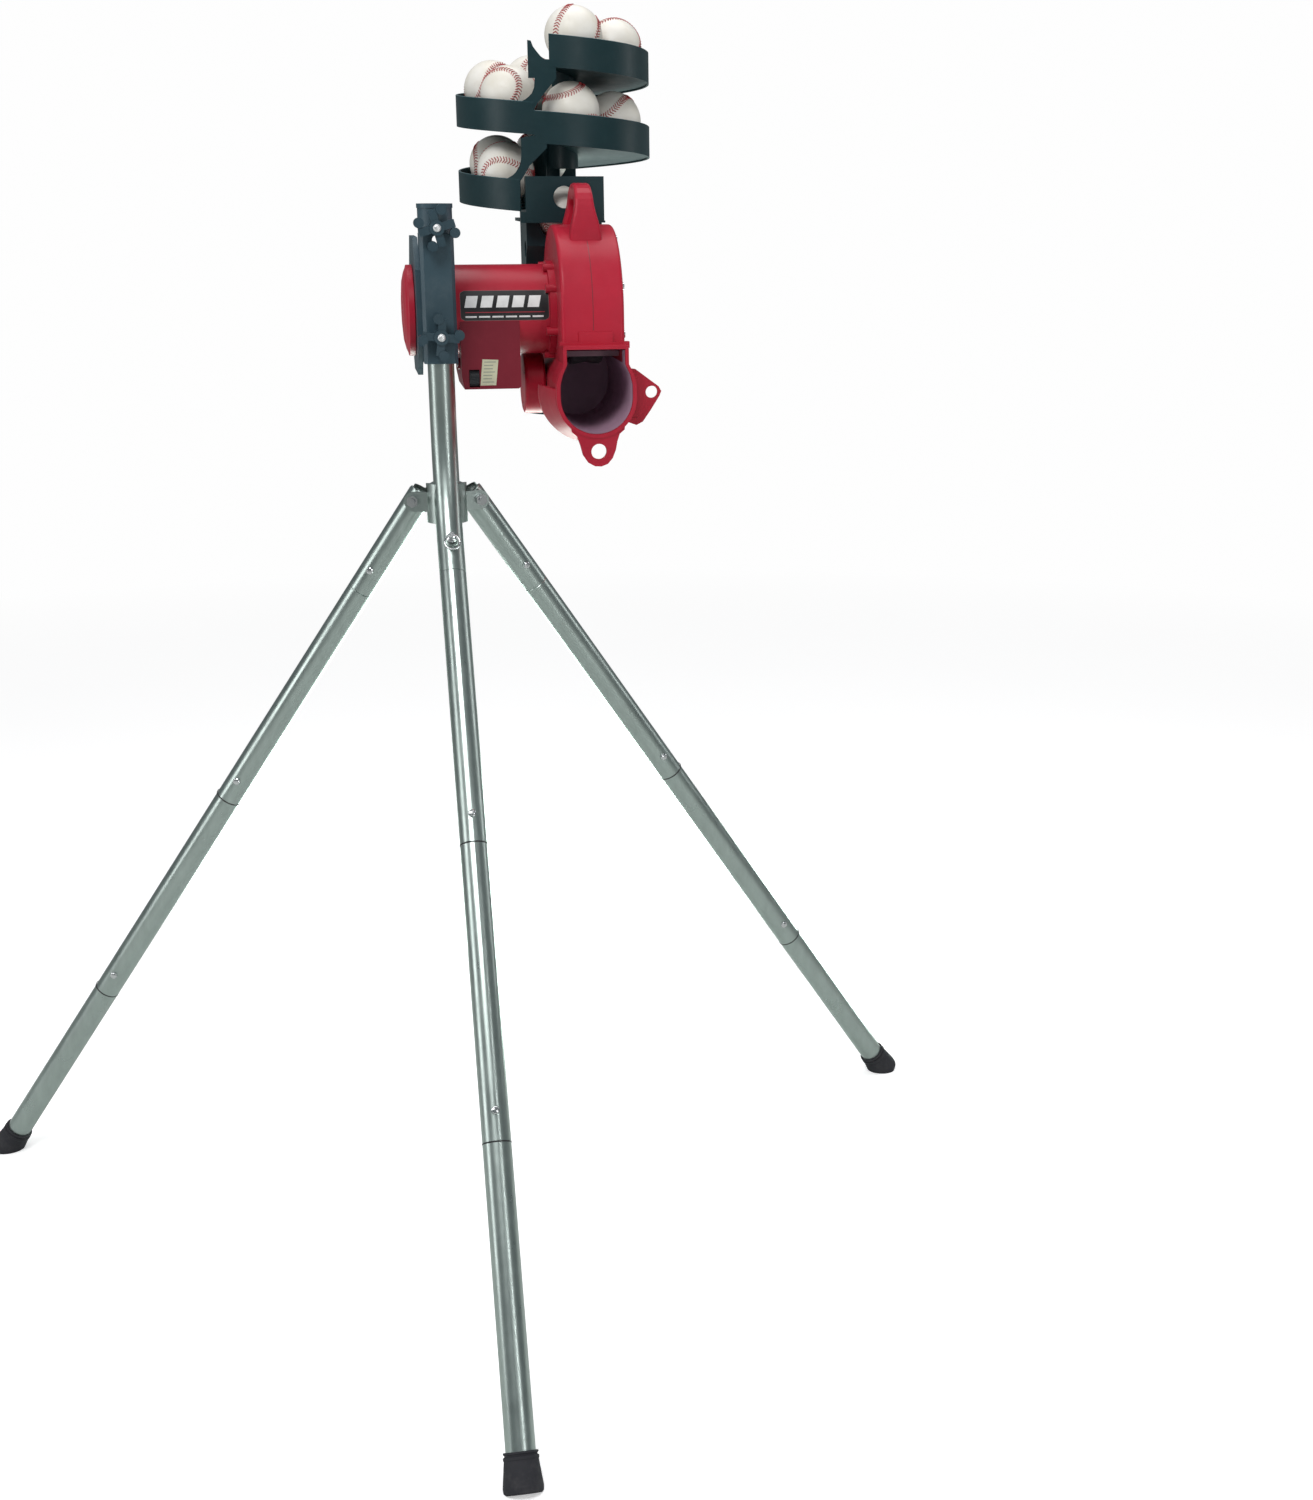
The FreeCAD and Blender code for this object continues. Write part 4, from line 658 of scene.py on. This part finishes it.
# ---------------------------------------------------------------- floor, light, camera
FLOOR_HALF = 40
FLOOR_Z = -0.4 * MM
BACKDROP = 0.99
floor_look = Look("floor", (0.93, 0.93, 0.93), 0.95, specular=0.05)
cloudy = [(0.3, (0.925, 0.925, 0.925)), (0.7, (0.94, 0.94, 0.94))]
floor_look.colour(floor_look.ramp(floor_look.noise(2.0, 2), cloudy))
reach = floor_look.node("ShaderNodeVectorMath", operation="LENGTH")
floor_look.link(floor_look.place, reach.inputs[0])
fade = floor_look.spread(reach.outputs["Value"], 0.0, 1.0, 1.3, 4.5)
glow = floor_look.node("ShaderNodeEmission")
glow.inputs["Color"].default_value = (1, 1, 1, 1)
glow.inputs["Strength"].default_value = BACKDROP
floor_look.shader.inputs["Emission Color"].default_value = (1, 1, 1, 1)
floor_look.shader.inputs["Emission Strength"].default_value = 0.42
bounce = floor_look.node("ShaderNodeBsdfDiffuse")
bounce.inputs["Color"].default_value = (0.62, 0.65, 0.63, 1)
seen_by = floor_look.node("ShaderNodeLightPath").outputs["Is Camera Ray"]


def mixed(factor, first, second):
    """The floor's second shader laid over its first."""
    made = floor_look.node("ShaderNodeMixShader")
    floor_look.link(factor, made.inputs[0])
    floor_look.link(first, made.inputs[1])
    floor_look.link(second, made.inputs[2])
    return made.outputs[0]


shown = mixed(fade, floor_look.shader.outputs["BSDF"], glow.outputs["Emission"])
lit = mixed(seen_by, bounce.outputs["BSDF"], shown)
floor_look.link(lit, floor_look.tree.nodes["Material Output"].inputs["Surface"])
corners = [(x * FLOOR_HALF, y * FLOOR_HALF, FLOOR_Z) for x, y in ((-1, -1), (1, -1), (1, 1), (-1, 1))]
floor_mesh = mesh("floor", corners, [(0, 1, 2, 3)])
floor = bpy.data.objects.new("floor", floor_mesh)
floor_mesh.materials.append(floor_look.material)
bpy.context.scene.collection.objects.link(floor)

world = bpy.data.worlds.new("studio")
bpy.context.scene.world = world
world.use_nodes = True
tree = world.node_tree
rays = tree.nodes.new("ShaderNodeLightPath")


def sky(colour, strength):
    """One background shader of the world."""
    made = tree.nodes.new("ShaderNodeBackground")
    made.inputs["Color"].default_value = (*colour, 1)
    made.inputs["Strength"].default_value = strength
    return made.outputs[0]


def choose(ray, otherwise, chosen):
    """What one kind of ray sees, and what the others see."""
    made = tree.nodes.new("ShaderNodeMixShader")
    tree.links.new(rays.outputs[ray], made.inputs[0])
    tree.links.new(otherwise, made.inputs[1])
    tree.links.new(chosen, made.inputs[2])
    return made.outputs[0]


reflected = sky((0.80, 0.90, 0.93), 0.20)
soft_fill = sky((0.97, 0.98, 1.0), 0.35)
backdrop = sky((1, 1, 1), BACKDROP)
seen = choose("Is Camera Ray", choose("Is Diffuse Ray", reflected, soft_fill), backdrop)
tree.links.new(seen, tree.nodes["World Output"].inputs[0])


def area(name, place, target, size, power, colour=(1, 1, 1)):
    """A soft box at place, turned to target; size in metres, power in watts."""
    light = bpy.data.lights.new(name, "AREA")
    light.shape = "RECTANGLE"
    light.size = size[0]
    light.size_y = size[1]
    light.energy = power
    light.color = colour
    obj = bpy.data.objects.new(name, light)
    obj.location = place
    obj.rotation_euler = (Vector(target) - Vector(place)).to_track_quat("-Z", "Y").to_euler()
    obj.visible_camera = False
    bpy.context.scene.collection.objects.link(obj)
    return obj


area("key", (-1.0, -2.0, 3.6), (0.1, 0.1, 1.0), (1.6, 1.2), 58)
area("left_fill", (-3.0, -0.4, 1.5), (0.1, 0.2, 0.9), (1.0, 2.2), 20)
area("strip", (1.25, -2.3, 1.2), (0.0, 0.0, 0.8), (0.16, 2.6), 12)
area("top", (0.6, 0.8, 3.6), (0.1, 0.1, 0.6), (2.0, 2.0), 34)
area("right_rim", (3.0, 0.6, 1.8), (0.1, 0.1, 0.9), (0.6, 2.0), 8)
area("bounce", (0.3, 0.9, 0.02), (0.17, 0.4, 1.4), (1.4, 1.2), 52, (0.84, 1.0, 0.92))

CAMERA_FROM_MAST = Vector((-0.13, -2.40, 0))
CAMERA_HEIGHT = 1.30
YAW = math.radians(11.6)
PITCH = math.radians(16.3)
camera_data = bpy.data.cameras.new("camera")
camera_data.lens = 46.75
camera_data.sensor_width = 36
camera_data.shift_x = -0.0533
camera = bpy.data.objects.new("camera", camera_data)
camera.location = (CAMERA_FROM_MAST.x, MAST_Y + CAMERA_FROM_MAST.y, CAMERA_HEIGHT)
camera.rotation_euler = (math.pi / 2 - PITCH, 0, -YAW)
bpy.context.scene.collection.objects.link(camera)
bpy.context.scene.camera = camera
bpy.context.scene.view_settings.view_transform = "Standard"
